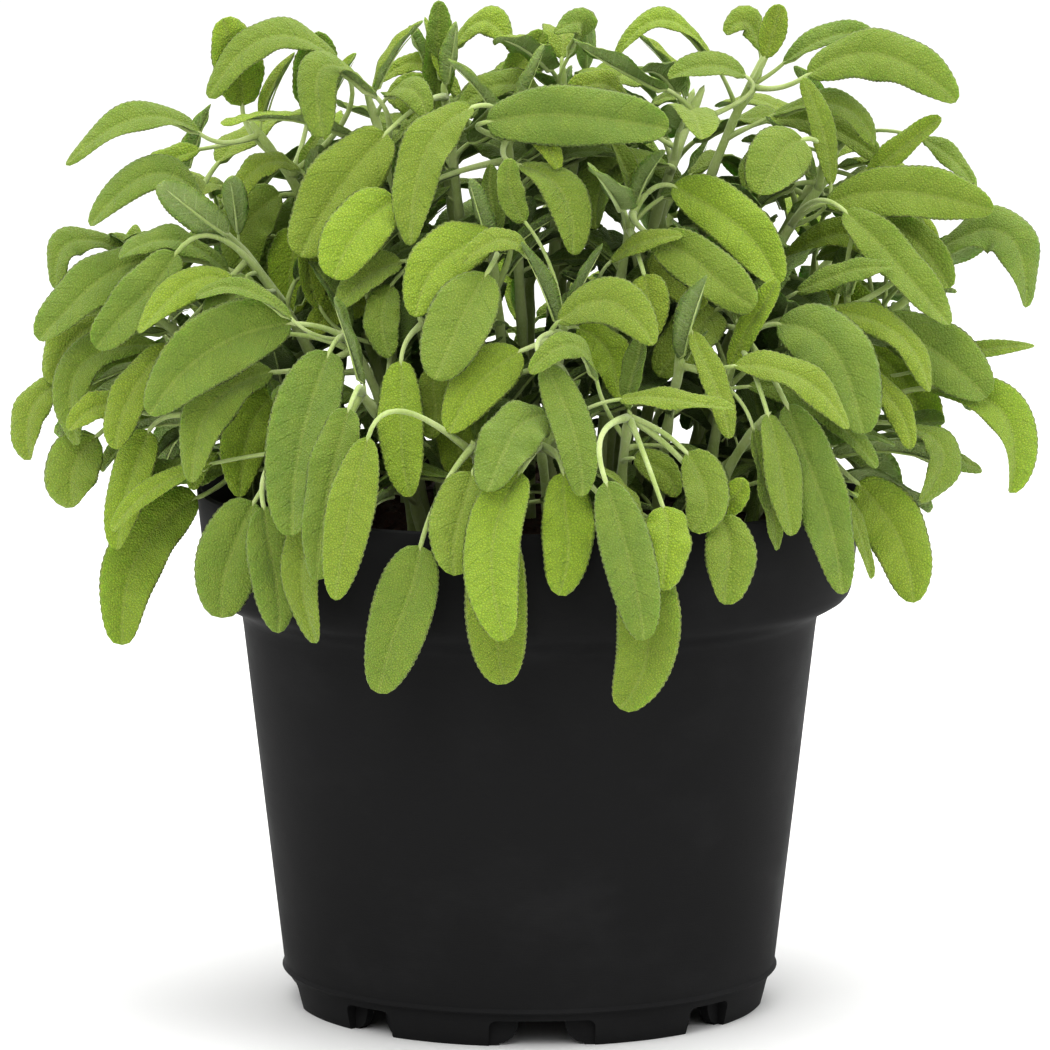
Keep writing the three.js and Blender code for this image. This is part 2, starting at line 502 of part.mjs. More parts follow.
function stemRing(centre, heading, radius) {
  const across = squareTo(point(1, 0, 0), heading);
  const beside = heading.clone().cross(across);
  return Array.from({ length: STEM_SIDES }, (_, i) => {
    const turn = (2 * Math.PI * i) / STEM_SIDES;
    const corner = across.clone().multiplyScalar(Math.cos(turn)).addScaledVector(beside, Math.sin(turn));
    return corner.multiplyScalar(radius).add(centre);
  });
}

// The stem's line above the soil: it rises steeply and then leans out to its tip.
function stemLine({ root, tip, depth }) {
  const start = point(...root, soilHeight(...root) + 1);
  const end = seenAt(tip, depth);
  const rise = end.z - start.z;
  const bend = start.clone().lerp(end, 0.28);
  bend.z = start.z + 0.62 * rise;
  return arc(start, bend, end);
}

function stemSolid(stem) {
  const foot = point(...stem.root, soilHeight(...stem.root) - ROOT_DEPTH);
  const rings = [stemRing(foot, UP, ROOT_RADIUS)];
  for (let i = 0; i <= STEM_STEPS; i++) {
    const t = i / STEM_STEPS;
    const heading = i ? stem.line.heading(t) : UP;
    rings.push(stemRing(stem.line.at(t), heading, ROOT_RADIUS + (TIP_RADIUS - ROOT_RADIUS) * t));
  }
  return solidOf(loft(rings));
}

// ---------------------------------------------------------------- leaves

// Half the blade's width along its length, as a share of the widest: oblong with a round tip.
function bladeOutline(u) {
  return Math.pow(Math.max(0, Math.sin(Math.PI * Math.pow(u, 0.88))), 0.42);
}

// A leaf grows from `root` on its stem: a stalk to `base`, then a blade that bends towards `tip`.
// `side` points to the blade's left edge, and the upper face looks along side x heading.
function makeLeaf(root, base, bend, tip, width, side) {
  const reach = (0.5 * root.distanceTo(base)) / base.distanceTo(bend);
  const stalkBend = base.clone().addScaledVector(bend, -reach).addScaledVector(base, reach);
  return { stalk: arc(root, stalkBend, base), blade: arc(base, bend, tip), width, side };
}

function leafRing(line, t, side, half, fold, top, bottom) {
  const centre = line.at(t);
  const across = squareTo(side, line.heading(t));
  const up = across.clone().cross(line.heading(t));
  const beyond = (direction, distance) => centre.clone().addScaledVector(direction, distance);
  const edge = (sign) => beyond(across, sign * half).addScaledVector(up, half * fold);
  return [edge(1), beyond(up, -bottom), edge(-1), beyond(up, top)];
}

// The leaf's cross-sections, each as [left edge, underside, right edge, upper side], and its tip.
function leafRings(leaf) {
  const [foot, half] = [STALK_ROOT_HALF_WIDTH, STALK_HALF_WIDTH];
  const rings = [leafRing(leaf.stalk, 0, leaf.side, foot, 0, foot, foot)];
  rings.push(leafRing(leaf.blade, 0, leaf.side, half, 0, half, half));
  for (const u of leaf.stations) {
    const reach = (leaf.width / 2) * bladeOutline(u);
    rings.push(leafRing(leaf.blade, u, leaf.side, reach, BLADE_FOLD, 0.1, BLADE_THICKNESS));
  }
  return { rings, tip: leaf.blade.at(1) };
}

function leafSolid(leaf) {
  const { rings, tip } = leafRings(leaf);
  return solidOf(loft(rings, tip));
}

function between(from, to, steps) {
  return Array.from({ length: steps }, (_, i) => from.clone().lerp(to, i / steps));
}

// Points spread over a leaf, for keeping its neighbours clear.
function leafSamples(leaf) {
  const { rings, tip } = leafRings(leaf);
  const stalkSteps = Math.ceil(leaf.stalk.at(0).distanceTo(leaf.stalk.at(1)) / SAMPLE_STEP);
  const stalk = between(leaf.stalk.at(0), leaf.stalk.at(1), stalkSteps).slice(2);
  const blade = [tip];
  for (let i = 1; i < rings.length; i++) {
    const next = rings[i + 1] ?? rings[i].map(() => tip);
    const steps = Math.ceil(rings[i][3].distanceTo(next[3]) / SAMPLE_STEP);
    for (let k = 0; k < steps; k++) {
      const [left, under, right, top] = rings[i].map((corner, j) => corner.clone().lerp(next[j], k / steps));
      const rib = top.lerp(under, 0.5);
      const across = Math.ceil(left.distanceTo(rib) / SAMPLE_STEP);
      blade.push(...between(left, rib, across), ...between(right, rib, across), rib);
    }
  }
  return [
    ...stalk.map((place) => ({ place, reach: STALK_HALF_WIDTH / 2, blade: false })),
    ...blade.map((place) => ({ place, reach: 0, blade: true })),
  ];
}

function stemSamples(stem) {
  const steps = Math.ceil(stem.line.length / SAMPLE_STEP);
  return Array.from({ length: steps + 1 }, (_, i) => {
    const t = i / steps;
    return { place: stem.line.at(t), reach: ROOT_RADIUS + (TIP_RADIUS - ROOT_RADIUS) * t, blade: false };
  });
}

// ---------------------------------------------------------------- room between pieces

// What has been placed so far, in cubic cells, so that a new leaf is tested against its neighbours only.
const CELL = CLEARANCE + ROOT_RADIUS;
const crowd = new Map();

function cellKey(i, j, k) {
  return ((i + 200) * 400 + (j + 200)) * 400 + (k + 200);
}

function cellOf(place) {
  return [Math.floor(place.x / CELL), Math.floor(place.y / CELL), Math.floor(place.z / CELL)];
}

function settle(samples, owner) {
  for (const sample of samples) {
    const key = cellKey(...cellOf(sample.place));
    if (!crowd.has(key)) crowd.set(key, []);
    crowd.get(key).push({ ...sample, owner });
  }
}

function tooClose(sample, owner, nestled) {
  const [i, j, k] = cellOf(sample.place);
  for (let a = i - 1; a <= i + 1; a++) {
    for (let b = j - 1; b <= j + 1; b++) {
      for (let c = k - 1; c <= k + 1; c++) {
        for (const other of crowd.get(cellKey(a, b, c)) ?? []) {
          const own = other.owner === owner;
          if (own && (nestled || !(sample.blade || other.blade))) continue;
          const room = (own ? OWN_CLEARANCE : CLEARANCE) + sample.reach + other.reach;
          if (other.place.distanceTo(sample.place) < room) return true;
        }
      }
    }
  }
  return false;
}

function inPotOrSoil({ x, y, z }) {
  const radius = Math.hypot(x, y);
  if (radius > RIM_RADIUS - 5) return radius < RIM_RADIUS + POT_AIR && z < POT_HEIGHT + POT_AIR;
  return z < soilHeight(x, y) + SOIL_AIR;
}

// How far out in the crown a place is: 0 in the middle, 1 on the crown's outline.
function crownShare({ x, y, z }) {
  const high = z - CROWN_CENTRE;
  const tall = high > 0 ? CROWN_RADIUS_UP : CROWN_RADIUS_DOWN;
  return Math.hypot(x / CROWN_RADIUS_X, y / CROWN_RADIUS_Y, high / tall);
}

// A shown leaf may pass the crown's outline, and a young leaf may nestle against its own stem's leaves.
function fits(leaf, owner, { shown = false, nestled = false }) {
  const open = ({ place }) => !inPotOrSoil(place) && (shown || crownShare(place) < 1);
  return leafSamples(leaf).every((sample) => open(sample) && !tooClose(sample, owner, nestled));
}

// ---------------------------------------------------------------- growing the plant

const TRIES = 24;
const LEVELS = 5;
const SHIFT_STEP = 0.8;
// A shown leaf's stalk grows from one of so many places on a stem, at one of the nearest in all.
const FIRST_PLACE = 4;
const LAST_PLACE = 14;
const NEAREST = 10;
const USUAL_STALK = 11;
const SHORTEST_STALK = 4;
const LONGEST_STALK = 30;

// Places on the stems that a shown leaf could grow from, the most natural first.
function attachments(stems, base, bend) {
  const outward = bend.clone().sub(base).normalize();
  const found = [];
  stems.forEach((stem, owner) => {
    for (let i = FIRST_PLACE; i <= LAST_PLACE; i++) {
      const t = i / (LAST_PLACE + 0.5);
      const root = stem.line.at(t);
      const stalk = base.clone().sub(root);
      const length = stalk.length();
      if (length < SHORTEST_STALK || length > LONGEST_STALK) continue;
      const cost = 0.5 * Math.abs(length - USUAL_STALK) + 14 * (1 - stalk.dot(outward) / length);
      found.push({ owner, root, cost });
    }
  });
  return found.sort((a, b) => a.cost - b.cost).slice(0, NEAREST);
}

function shownLeafAt(shown, shift) {
  const [baseDepth, tipDepth] = shown.depth;
  const base = seenAt(shown.base, baseDepth + shift);
  const tip = seenAt(shown.tip, tipDepth + shift);
  const middle = seenAt(shown.mid, (baseDepth + tipDepth) / 2 + shift);
  const bend = middle.multiplyScalar(2).addScaledVector(base, -0.5).addScaledVector(tip, -0.5);
  const along = tip.clone().sub(base).normalize();
  const flat = along.clone().cross(TO_VIEWER).normalize();
  const back = flat.clone().cross(along).normalize();
  const turn = radians(shown.turn);
  const side = flat.multiplyScalar(Math.cos(turn)).addScaledVector(back, -Math.sin(turn));
  return { base, bend, tip, side };
}

function growShownLeaf(stems, shown) {
  for (let i = 0; i < TRIES; i++) {
    const shift = (i % 2 ? 1 : -1) * Math.ceil(i / 2) * SHIFT_STEP;
    const { base, bend, tip, side } = shownLeafAt(shown, shift);
    for (const { owner, root } of attachments(stems, base, bend)) {
      const leaf = { ...makeLeaf(root, base, bend, tip, shown.width, side), stations: GROWN_STATIONS };
      if (!fits(leaf, owner, { shown: true })) continue;
      addLeaf(stems, owner, leaf);
      return;
    }
  }
}

function addLeaf(stems, owner, leaf) {
  settle(leafSamples(leaf), owner);
  stems[owner].leaves.push(leaf);
}

// A leaf by its heading round the stem and the angles at which its blade leaves and ends, in degrees.
function leafFrom(root, { heading, lift, droop, roll, stalk, length, width, stations }) {
  const along = (angle) => {
    const flat = Math.cos(radians(angle));
    return point(flat * Math.cos(heading), flat * Math.sin(heading), Math.sin(radians(angle)));
  };
  const base = root.clone().addScaledVector(along(lift + 12), stalk);
  const bend = base.clone().addScaledVector(along(lift), length / 2);
  const tip = bend.clone().addScaledVector(along(droop), length / 2);
  const side = point(-Math.sin(heading), Math.cos(heading), 0);
  side.applyAxisAngle(along((lift + droop) / 2), radians(roll));
  return { ...makeLeaf(root, base, bend, tip, width, side.negate()), stations };
}

// Where along the stem a pair grows, counted down from the tip.
function levelPlace(stem, level) {
  return 1 - (TOP_PAIR + NODE_SPACING * level) / stem.line.length;
}

// One leaf of a pair: the first of several slightly different poses that has room.
function growPairLeaf(stems, owner, level, half) {
  const stem = stems[owner];
  if (stem.leaves.filter((leaf) => leaf.stations !== YOUNG_STATIONS).length >= MOST_LEAVES) return;
  const draw = drawsFor(owner, level, half);
  const t = levelPlace(stem, level) - (PAIR_STAGGER * half) / stem.line.length;
  const root = stem.line.at(t);
  const age = Math.min(1, level / 3);
  const usual = (size) => THREE.MathUtils.lerp(YOUNG_LEAF[size], OLD_LEAF[size], age);
  const turn = stem.turn + (Math.PI / 2) * (level + 2 * half);
  for (let i = 0; i < TRIES; i++) {
    const spread = 1 + 0.2 * i;
    const length = (usual("length") + LEAF_VARIES.length * draw()) * (1 - 0.012 * i);
    const leaf = leafFrom(root, {
      heading: turn + radians(LEAF_VARIES.heading) * spread * draw(),
      lift: usual("lift") + LEAF_VARIES.lift * spread * draw(),
      droop: usual("droop") + LEAF_VARIES.droop * spread * draw(),
      roll: LEAF_VARIES.roll * spread * draw(),
      stalk: usual("stalk") + LEAF_VARIES.stalk * draw(),
      length,
      width: length * (LEAF_WIDTH_SHARE + 0.03 * draw()),
      stations: GROWN_STATIONS,
    });
    if (crownShare(leaf.blade.at(1)) < SHADE || !fits(leaf, owner, {})) continue;
    addLeaf(stems, owner, leaf);
    return;
  }
}

// The young pair at a stem's tip: narrow leaves that still stand up.
function growTip(stems, owner) {
  const stem = stems[owner];
  for (let half = 0; half < 2; half++) {
    const draw = drawsFor(owner, 90, half);
    const root = stem.line.at(1 - (2.5 + PAIR_STAGGER * half) / stem.line.length);
    for (let k = 0; k < TRIES; k++) {
      const length = TIP_LEAF.length + TIP_VARIES.length * draw();
      const leaf = leafFrom(root, {
        heading: stem.turn + Math.PI * (0.5 + half) + radians(TIP_VARIES.heading) * draw(),
        lift: TIP_LEAF.lift + TIP_VARIES.lift * draw(),
        droop: TIP_LEAF.droop + TIP_VARIES.droop * draw(),
        roll: TIP_VARIES.roll * draw(),
        stalk: TIP_LEAF.stalk,
        length,
        width: length * TIP_WIDTH_SHARE,
        stations: YOUNG_STATIONS,
      });
      if (!fits(leaf, owner, { nestled: true })) continue;
      addLeaf(stems, owner, leaf);
      break;
    }
  }
}

function growPlant() {
  const stems = STEMS.map((stem, i) => ({
    ...stem,
    line: stemLine(stem),
    turn: Math.PI * drawsFor(i, 7)(),
    leaves: [],
  }));
  stems.forEach((stem, owner) => settle(stemSamples(stem), owner));
  for (const shown of SHOWN_LEAVES) growShownLeaf(stems, shown);
  stems.forEach((_, owner) => growTip(stems, owner));
  for (let level = 0; level < LEVELS; level++) {
    stems.forEach((stem, owner) => {
      const t = levelPlace(stem, level);
      if (t <= 0 || stem.line.at(t).z < SOIL_TOP + 10) return;
      growPairLeaf(stems, owner, level, 0);
      growPairLeaf(stems, owner, level, 1);
    });
  }
  return stems;
}

// The stem and its leaves as one body, with what fusing seals filled and any loose scrap dropped.
function leafyStem(stem) {
  const pieces = [stemSolid(stem), ...stem.leaves.map(leafSolid)];
  const bodies = wasm.Manifold.union(pieces).decompose();
  return bodies.reduce((largest, body) => (body.volume() > largest.volume() ? body : largest));
}

// ---------------------------------------------------------------- the potted plant

const potMaterial = new THREE.MeshStandardMaterial({ color: 0x26272a, roughness: 0.55, metalness: 0 });
const soilMaterial = new THREE.MeshStandardMaterial({ color: 0x4a3026, roughness: 1, metalness: 0 });
const leafMaterial = new THREE.MeshStandardMaterial({ color: 0x86a650, roughness: 0.85, metalness: 0 });

function addMesh(group, name, solid, material) {
  const mesh = new THREE.Mesh(geometryOf(solid.simplify(FINEST_EDGE)), material);
  mesh.name = name;
  group.add(mesh);
}

const pottedSage = new THREE.Group();
addMesh(pottedSage, "pot", makePot(), potMaterial);
addMesh(pottedSage, "soil", makeSoil(), soilMaterial);
growPlant().forEach((stem, i) => {
  const name = "leafy_stem_" + String(i + 1).padStart(2, "0");
  addMesh(pottedSage, name, leafyStem(stem), leafMaterial);
});

export default pottedSage;
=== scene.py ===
"""A common sage in a round black nursery pot. Metres, +Z up, the plant's front towards -Y.

The sections follow the plant as it is put together: the pot is moulded, filled with soil, and the
leafy stems grow out of it. Sizes inside the sections are in millimetres, which MM turns into
metres.
"""

import math

import bmesh
import bpy
import numpy as np
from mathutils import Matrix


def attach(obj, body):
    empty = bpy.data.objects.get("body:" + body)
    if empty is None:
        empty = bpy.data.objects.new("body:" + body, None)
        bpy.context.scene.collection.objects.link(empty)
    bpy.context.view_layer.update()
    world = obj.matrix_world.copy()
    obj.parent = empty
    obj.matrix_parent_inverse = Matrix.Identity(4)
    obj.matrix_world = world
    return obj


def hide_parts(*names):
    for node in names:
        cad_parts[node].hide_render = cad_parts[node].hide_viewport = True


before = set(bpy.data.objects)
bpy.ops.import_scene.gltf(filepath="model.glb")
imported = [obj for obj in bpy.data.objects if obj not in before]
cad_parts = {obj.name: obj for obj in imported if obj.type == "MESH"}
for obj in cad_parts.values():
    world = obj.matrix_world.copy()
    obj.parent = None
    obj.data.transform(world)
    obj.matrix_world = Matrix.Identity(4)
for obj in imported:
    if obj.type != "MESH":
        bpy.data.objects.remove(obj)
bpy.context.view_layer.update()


# ---------------------------------------------------------------- the view
# The plant stands on a pale table in soft studio light. The camera is 1.6 m away, a little above
# the leaves, so it looks slightly down and sees the soil only through gaps.

MM = 0.001
CAMERA_PLACE = (-0.97, -1600.0, 346.0)
CAMERA_TARGET = (-0.97, 0.0, 101.3)
CAMERA_LENS = 263.6
CAMERA_SENSOR = 36.0
CAMERA_SIGHT = 50.0
TABLE_HALF = 4000.0
TABLE_COLOUR = (0.86, 0.86, 0.85, 1.0)
TABLE_CLOUD_COLOUR = (0.84, 0.84, 0.835, 1.0)
SKY_COLOUR = (1.0, 1.0, 1.0, 1.0)
SKY_STRENGTH = 1.0
SOFTBOX_TARGET = (0.0, 0.0, 110.0)
# Each softbox: its place, its size in metres and its power in watts.
SOFTBOXES = {
    "front_softbox": ((-500.0, -1500.0, 1500.0), 1.0, 11.0),
    "top_softbox": ((150.0, 100.0, 1500.0), 1.2, 13.0),
    "right_softbox": ((1500.0, -500.0, 600.0), 0.9, 3.0),
}


def metres(place):
    return tuple(value * MM for value in place)


def aim(thing, target):
    direction = np.subtract(target, tuple(thing.location))
    thing.rotation_euler = (
        math.atan2(math.hypot(direction[0], direction[1]), -direction[2]),
        0.0,
        math.atan2(-direction[0], direction[1]),
    )


def stand_in_scene(name, data, place, target):
    thing = bpy.data.objects.new(name, data)
    thing.location = metres(place)
    aim(thing, metres(target))
    bpy.context.scene.collection.objects.link(thing)
    return thing


def piece_from(name, vertices, faces):
    """A mesh piece from points in millimetres."""
    mesh = bpy.data.meshes.new(name)
    mesh.from_pydata([tuple(vertex) for vertex in np.asarray(vertices) * MM], [], faces)
    piece = bpy.data.objects.new(name, mesh)
    bpy.context.scene.collection.objects.link(piece)
    return piece


class Finish:
    """A procedural finish, whose nodes are added and wired here."""

    def __init__(self, name):
        self.material = bpy.data.materials.new(name)
        self.material.use_nodes = True
        self.tree = self.material.node_tree
        self.shader = self.tree.nodes["Principled BSDF"]

    def feed(self, socket, value):
        if isinstance(value, bpy.types.NodeSocket):
            self.tree.links.new(value, socket)
        else:
            socket.default_value = value

    def set(self, **values):
        """Sets or wires the shader's sockets: base_color is Base Color."""
        sockets = {socket.name.lower().replace(" ", "_"): socket for socket in self.shader.inputs}
        for key, value in values.items():
            self.feed(sockets[key], value)

    def node(self, kind, inputs, **settings):
        made = self.tree.nodes.new(kind)
        for key, value in settings.items():
            setattr(made, key, value)
        for socket, value in inputs.items():
            self.feed(made.inputs[socket], value)
        return made

    def sum(self, operation, first, second=0.0, third=0.0):
        inputs = {0: first, 1: second, 2: third}
        return self.node("ShaderNodeMath", inputs, operation=operation).outputs[0]

    def step(self, value, start, end, low=0.0, high=1.0):
        """`value` carried smoothly from start..end to low..high."""
        inputs = {"Value": value, "From Min": start, "From Max": end, "To Min": low, "To Max": high}
        return self.node("ShaderNodeMapRange", inputs, interpolation_type="SMOOTHSTEP").outputs[0]

    def blend(self, share, first, second, mode="MIX"):
        mix = {0: share, 6: first, 7: second}
        return self.node("ShaderNodeMix", mix, data_type="RGBA", blend_type=mode).outputs[2]

    def cover(self, base, mask, share, colour):
        """`colour` over `base` where the mask is, at `share` of full strength."""
        return self.blend(self.sum("MULTIPLY", mask, share), base, colour)

    def noise(self, place, scale, detail=3.0, roughness=0.5):
        inputs = {"Vector": place, "Scale": scale, "Detail": detail, "Roughness": roughness}
        return self.node("ShaderNodeTexNoise", inputs).outputs["Fac"]

    def bump(self, height, depth, strength=1.0):
        """`depth` in millimetres."""
        inputs = {"Height": height, "Distance": depth * MM, "Strength": strength}
        self.set(normal=self.node("ShaderNodeBump", inputs).outputs["Normal"])

    def place(self, stretch=(1.0, 1.0, 1.0)):
        """Where a point is on the piece, in millimetres, stretched along each axis."""
        where = self.node("ShaderNodeTexCoord", {}).outputs["Object"]
        scale = tuple(value / MM for value in stretch)
        return self.node("ShaderNodeMapping", {"Vector": where, "Scale": scale}).outputs["Vector"]


table = piece_from(
    "table",
    [(x * TABLE_HALF, y * TABLE_HALF, 0.0) for x, y in ((-1, -1), (1, -1), (1, 1), (-1, 1))],
    [(0, 1, 2, 3)],
)
table_finish = Finish("pale_table")
table_cloud = table_finish.noise(table_finish.place(), 0.004)
table_finish.set(
    base_color=table_finish.blend(table_cloud, TABLE_COLOUR, TABLE_CLOUD_COLOUR), roughness=0.7
)
table.data.materials.append(table_finish.material)

lens = bpy.data.cameras.new("camera")
lens.lens = CAMERA_LENS
lens.sensor_width = CAMERA_SENSOR
lens.clip_end = CAMERA_SIGHT
bpy.context.scene.camera = stand_in_scene("camera", lens, CAMERA_PLACE, CAMERA_TARGET)

for name, (place, size, power) in SOFTBOXES.items():
    softbox = bpy.data.lights.new(name, "AREA")
    softbox.size = size
    softbox.energy = power
    stand_in_scene(name, softbox, place, SOFTBOX_TARGET)

sky = bpy.data.worlds.new("studio")
sky.use_nodes = True
sky.node_tree.nodes["Background"].inputs["Color"].default_value = SKY_COLOUR
sky.node_tree.nodes["Background"].inputs["Strength"].default_value = SKY_STRENGTH
bpy.context.scene.world = sky
bpy.context.scene.view_settings.view_transform = "Standard"
bpy.context.scene.view_settings.look = "Medium High Contrast"

# ---------------------------------------------------------------- the pot
# A 14 cm nursery pot, injection-moulded in one piece from black plastic. Its wall tapers down from
# a deep rim band to a small ledge and a foot ring, which is notched all round so that it drains.

RIM_RADIUS = 70.0
POT_HEIGHT = 110.0
POT_TURNS = 176
FOOT_INSIDE = 45.5
LINING_FACE = 47.5
PAST_FOOT = 56.0
NOTCHES = 8
NOTCH_TURN = 3.0
NOTCH_HEIGHT = 5.6
NOTCH_CORNER = 1.6
NOTCH_CORNER_POINTS = 6
WIDE_NOTCH = 22.0
NARROW_NOTCH = 12.0
LINING_SHARE = 0.8
LINING_NECK_SHARE = 0.55
DRAIN_HOLES = 4
DRAIN_CIRCLE = 30.0
DRAIN_RADIUS = 4.5
DRAIN_SIDES = 28
DRAIN_CUT = (2.0, 12.0)
PLASTIC_COLOUR = (0.0165, 0.0165, 0.0168, 1.0)
DUSTY_COLOUR = (0.0210, 0.0210, 0.0214, 1.0)
# Radius and height from under the floor, down the foot ring, up the outside and down the inside.
POT_PROFILE = [
    (0.0, 6.4), (20.0, 6.4), (38.0, 6.4), (44.9, 6.4), (45.5, 5.8), (45.5, 0.3), (45.8, 0.0),
    (49.2, 0.0), (49.5, 0.3), (50.1, 2.6), (50.7, 5.2), (51.1, 6.9), (51.4, 7.15), (52.2, 7.3),
    (52.45, 7.6), (52.3, 7.95), (51.95, 8.4), (53.4, 20.6), (55.9, 42.0), (58.4, 64.0),
    (60.3, 80.6), (60.6, 82.6), (61.1, 83.7), (62.4, 84.7), (65.2, 86.2), (66.5, 87.0),
    (67.3, 87.9), (67.8, 89.2), (68.2, 92.5), (68.9, 98.5), (69.6, 105.0), (69.95, 109.0),
    (69.95, 109.6), (69.6, 110.0), (69.0, 110.0), (68.65, 109.6), (67.9, 102.0), (66.6, 92.0),
    (66.0, 90.0), (64.6, 88.4), (60.2, 85.4), (59.3, 84.2), (58.9, 82.0), (55.8, 54.0),
    (52.8, 27.5), (50.9, 10.4), (50.4, 8.7), (49.2, 8.0), (38.0, 8.0), (20.0, 8.0), (0.0, 8.0),
]


def turned(name, profile, turns):
    """A solid turned from a profile that starts and ends on the axis."""
    around = np.linspace(0.0, 2 * math.pi, turns, endpoint=False)
    circle = np.stack([np.sin(around), -np.cos(around)], 1)
    inner = profile[1:-1]
    vertices = [(0.0, 0.0, profile[0][1]), (0.0, 0.0, profile[-1][1])]
    for radius, height in inner:
        vertices += [(radius * x, radius * y, height) for x, y in circle]
    faces = []
    for i in range(turns):
        j = (i + 1) % turns
        faces.append((0, 2 + j, 2 + i))
        last = 2 + (len(inner) - 1) * turns
        faces.append((1, last + i, last + j))
        for row in range(len(inner) - 1):
            low, high = 2 + row * turns, 2 + (row + 1) * turns
            faces.append((low + i, low + j, high + j, high + i))
    return piece_from(name, vertices, faces)


def notch_outline(width):
    """A notch in the ring's face, with round top corners."""
    half, corner = width / 2, NOTCH_CORNER
    outline = [(-half, -1.0), (half, -1.0)]
    for side, start in ((1, 0.0), (-1, math.pi / 2)):
        for i in range(NOTCH_CORNER_POINTS):
            turn = start + i * math.pi / 10
            centre = side * (half - corner)
            outline.append(
                (centre + corner * math.cos(turn), NOTCH_HEIGHT - corner + corner * math.sin(turn))
            )
    return outline


def lining_outline(width):
    """The narrower way through the ring's lining, whose sides flare out to the ground."""
    half = width / 2
    neck = half * LINING_NECK_SHARE
    flare = [
        (half + (neck - half) * math.sin(turn), 0.4 + (NOTCH_HEIGHT - 1.2) * (1 - math.cos(turn)))
        for turn in np.linspace(0.0, math.pi / 2, 7)
    ]
    right = [(half, -1.0)] + flare + [(neck, NOTCH_HEIGHT - 0.4)]
    return right + [(-x, z) for x, z in reversed(right)]


def radial_prisms(name, rows):
    """Prisms through the foot ring: each row is an outline, its turn in degrees and two radii."""
    vertices, faces = [], []
    for outline, turn, start, end in rows:
        angle = math.radians(turn)
        across = np.array([math.cos(angle), math.sin(angle), 0.0])
        outward = np.array([math.sin(angle), -math.cos(angle), 0.0])
        first, count = len(vertices), len(outline)
        for radius in (start, end):
            vertices += [
                outward * radius + across * x + np.array([0.0, 0.0, z]) for x, z in outline
            ]
        faces.append(tuple(first + count + i for i in range(count)))
        faces.append(tuple(first + i for i in reversed(range(count))))
        for i in range(count):
            j = (i + 1) % count
            faces.append((first + i, first + j, first + count + j, first + count + i))
    return piece_from(name, vertices, faces)


def square_up(piece):
    """Turns every face of a closed piece outwards."""
    shape = bmesh.new()
    shape.from_mesh(piece.data)
    bmesh.ops.recalc_face_normals(shape, faces=shape.faces)
    shape.to_mesh(piece.data)
    shape.free()


def cut_away(piece, cutter):
    square_up(cutter)
    cut = piece.modifiers.new("cut", "BOOLEAN")
    cut.operation = "DIFFERENCE"
    cut.solver = "EXACT"
    cut.object = cutter
    settle(piece)
    bpy.data.objects.remove(cutter)


def settle(piece):
    """Makes what the modifiers show into the piece's own mesh."""
    seen = piece.evaluated_get(bpy.context.evaluated_depsgraph_get())
    made = bpy.data.meshes.new_from_object(seen)
    piece.modifiers.clear()
    piece.data = made


def smooth_rounds(piece, sharpest=38.0):
    """Shades round surfaces smooth and keeps the moulded edges crisp."""
    shape = bmesh.new()
    shape.from_mesh(piece.data)
    for face in shape.faces:
        face.smooth = True
    for edge in shape.edges:
        edge.smooth = len(edge.link_faces) == 2 and edge.calc_face_angle() < math.radians(sharpest)
    shape.to_mesh(piece.data)
    shape.free()


def dress(piece, materials, node):
    """Gives a piece its finishes, and stands it in for the plain solid of `node`."""
    for material in materials:
        piece.data.materials.append(material)
    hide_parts(node)
    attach(piece, "root")


pot = turned("nursery_pot", POT_PROFILE, POT_TURNS)
square_up(pot)
notches, linings = [], []
for i in range(NOTCHES):
    width, turn = (NARROW_NOTCH if i % 2 else WIDE_NOTCH), NOTCH_TURN + 360.0 / NOTCHES * i
    lining = lining_outline(width * LINING_SHARE)
    notches.append((notch_outline(width), turn, LINING_FACE, PAST_FOOT))
    linings.append((lining, turn, FOOT_INSIDE - 2.0, LINING_FACE + 1.0))
cut_away(pot, radial_prisms("notch_cutters", notches))
cut_away(pot, radial_prisms("lining_cutters", linings))
drain_vertices, drain_faces = [], []
for i in range(DRAIN_HOLES):
    centre = np.array([math.cos(i * math.pi / 2), math.sin(i * math.pi / 2)]) * DRAIN_CIRCLE
    ring = [
        centre + DRAIN_RADIUS * np.array([math.cos(a), math.sin(a)])
        for a in np.linspace(0.0, 2 * math.pi, DRAIN_SIDES, endpoint=False)
    ]
    low = [len(drain_vertices) + j for j in range(DRAIN_SIDES)]
    high = [vertex + DRAIN_SIDES for vertex in low]
    drain_vertices += [(x, y, z) for z in DRAIN_CUT for x, y in ring]
    drain_faces += [tuple(reversed(low)), tuple(high)]
    drain_faces += [(low[j - 1], low[j], high[j], high[j - 1]) for j in range(DRAIN_SIDES)]
cut_away(pot, piece_from("drain_cutters", drain_vertices, drain_faces))
smooth_rounds(pot)

plastic = Finish("black_pot_plastic")
fine_lines = plastic.noise(plastic.place((0.25, 0.25, 2.6)), 1.0, detail=4.0, roughness=0.7)
grain = plastic.noise(plastic.place(), 3.2, detail=2.0)
scuffs = plastic.noise(plastic.place((0.03, 0.03, 0.05)), 1.0, detail=5.0, roughness=0.6)
dust = plastic.step(scuffs, 0.45, 0.75)
plastic.set(
    base_color=plastic.blend(dust, PLASTIC_COLOUR, DUSTY_COLOUR),
    roughness=plastic.step(scuffs, 0.25, 0.8, 0.42, 0.58),
    specular_ior_level=0.02,
)
plastic.bump(plastic.sum("ADD", fine_lines, plastic.sum("MULTIPLY", grain, 0.35)), 0.09, 0.55)
dress(pot, [plastic.material], "pot")

# ---------------------------------------------------------------- the soil
# Peat potting mix, pressed into the pot to 7 mm below its lip. It is reddish brown, moist and
# crumbly, with bark fibres and a few pale grains on top.

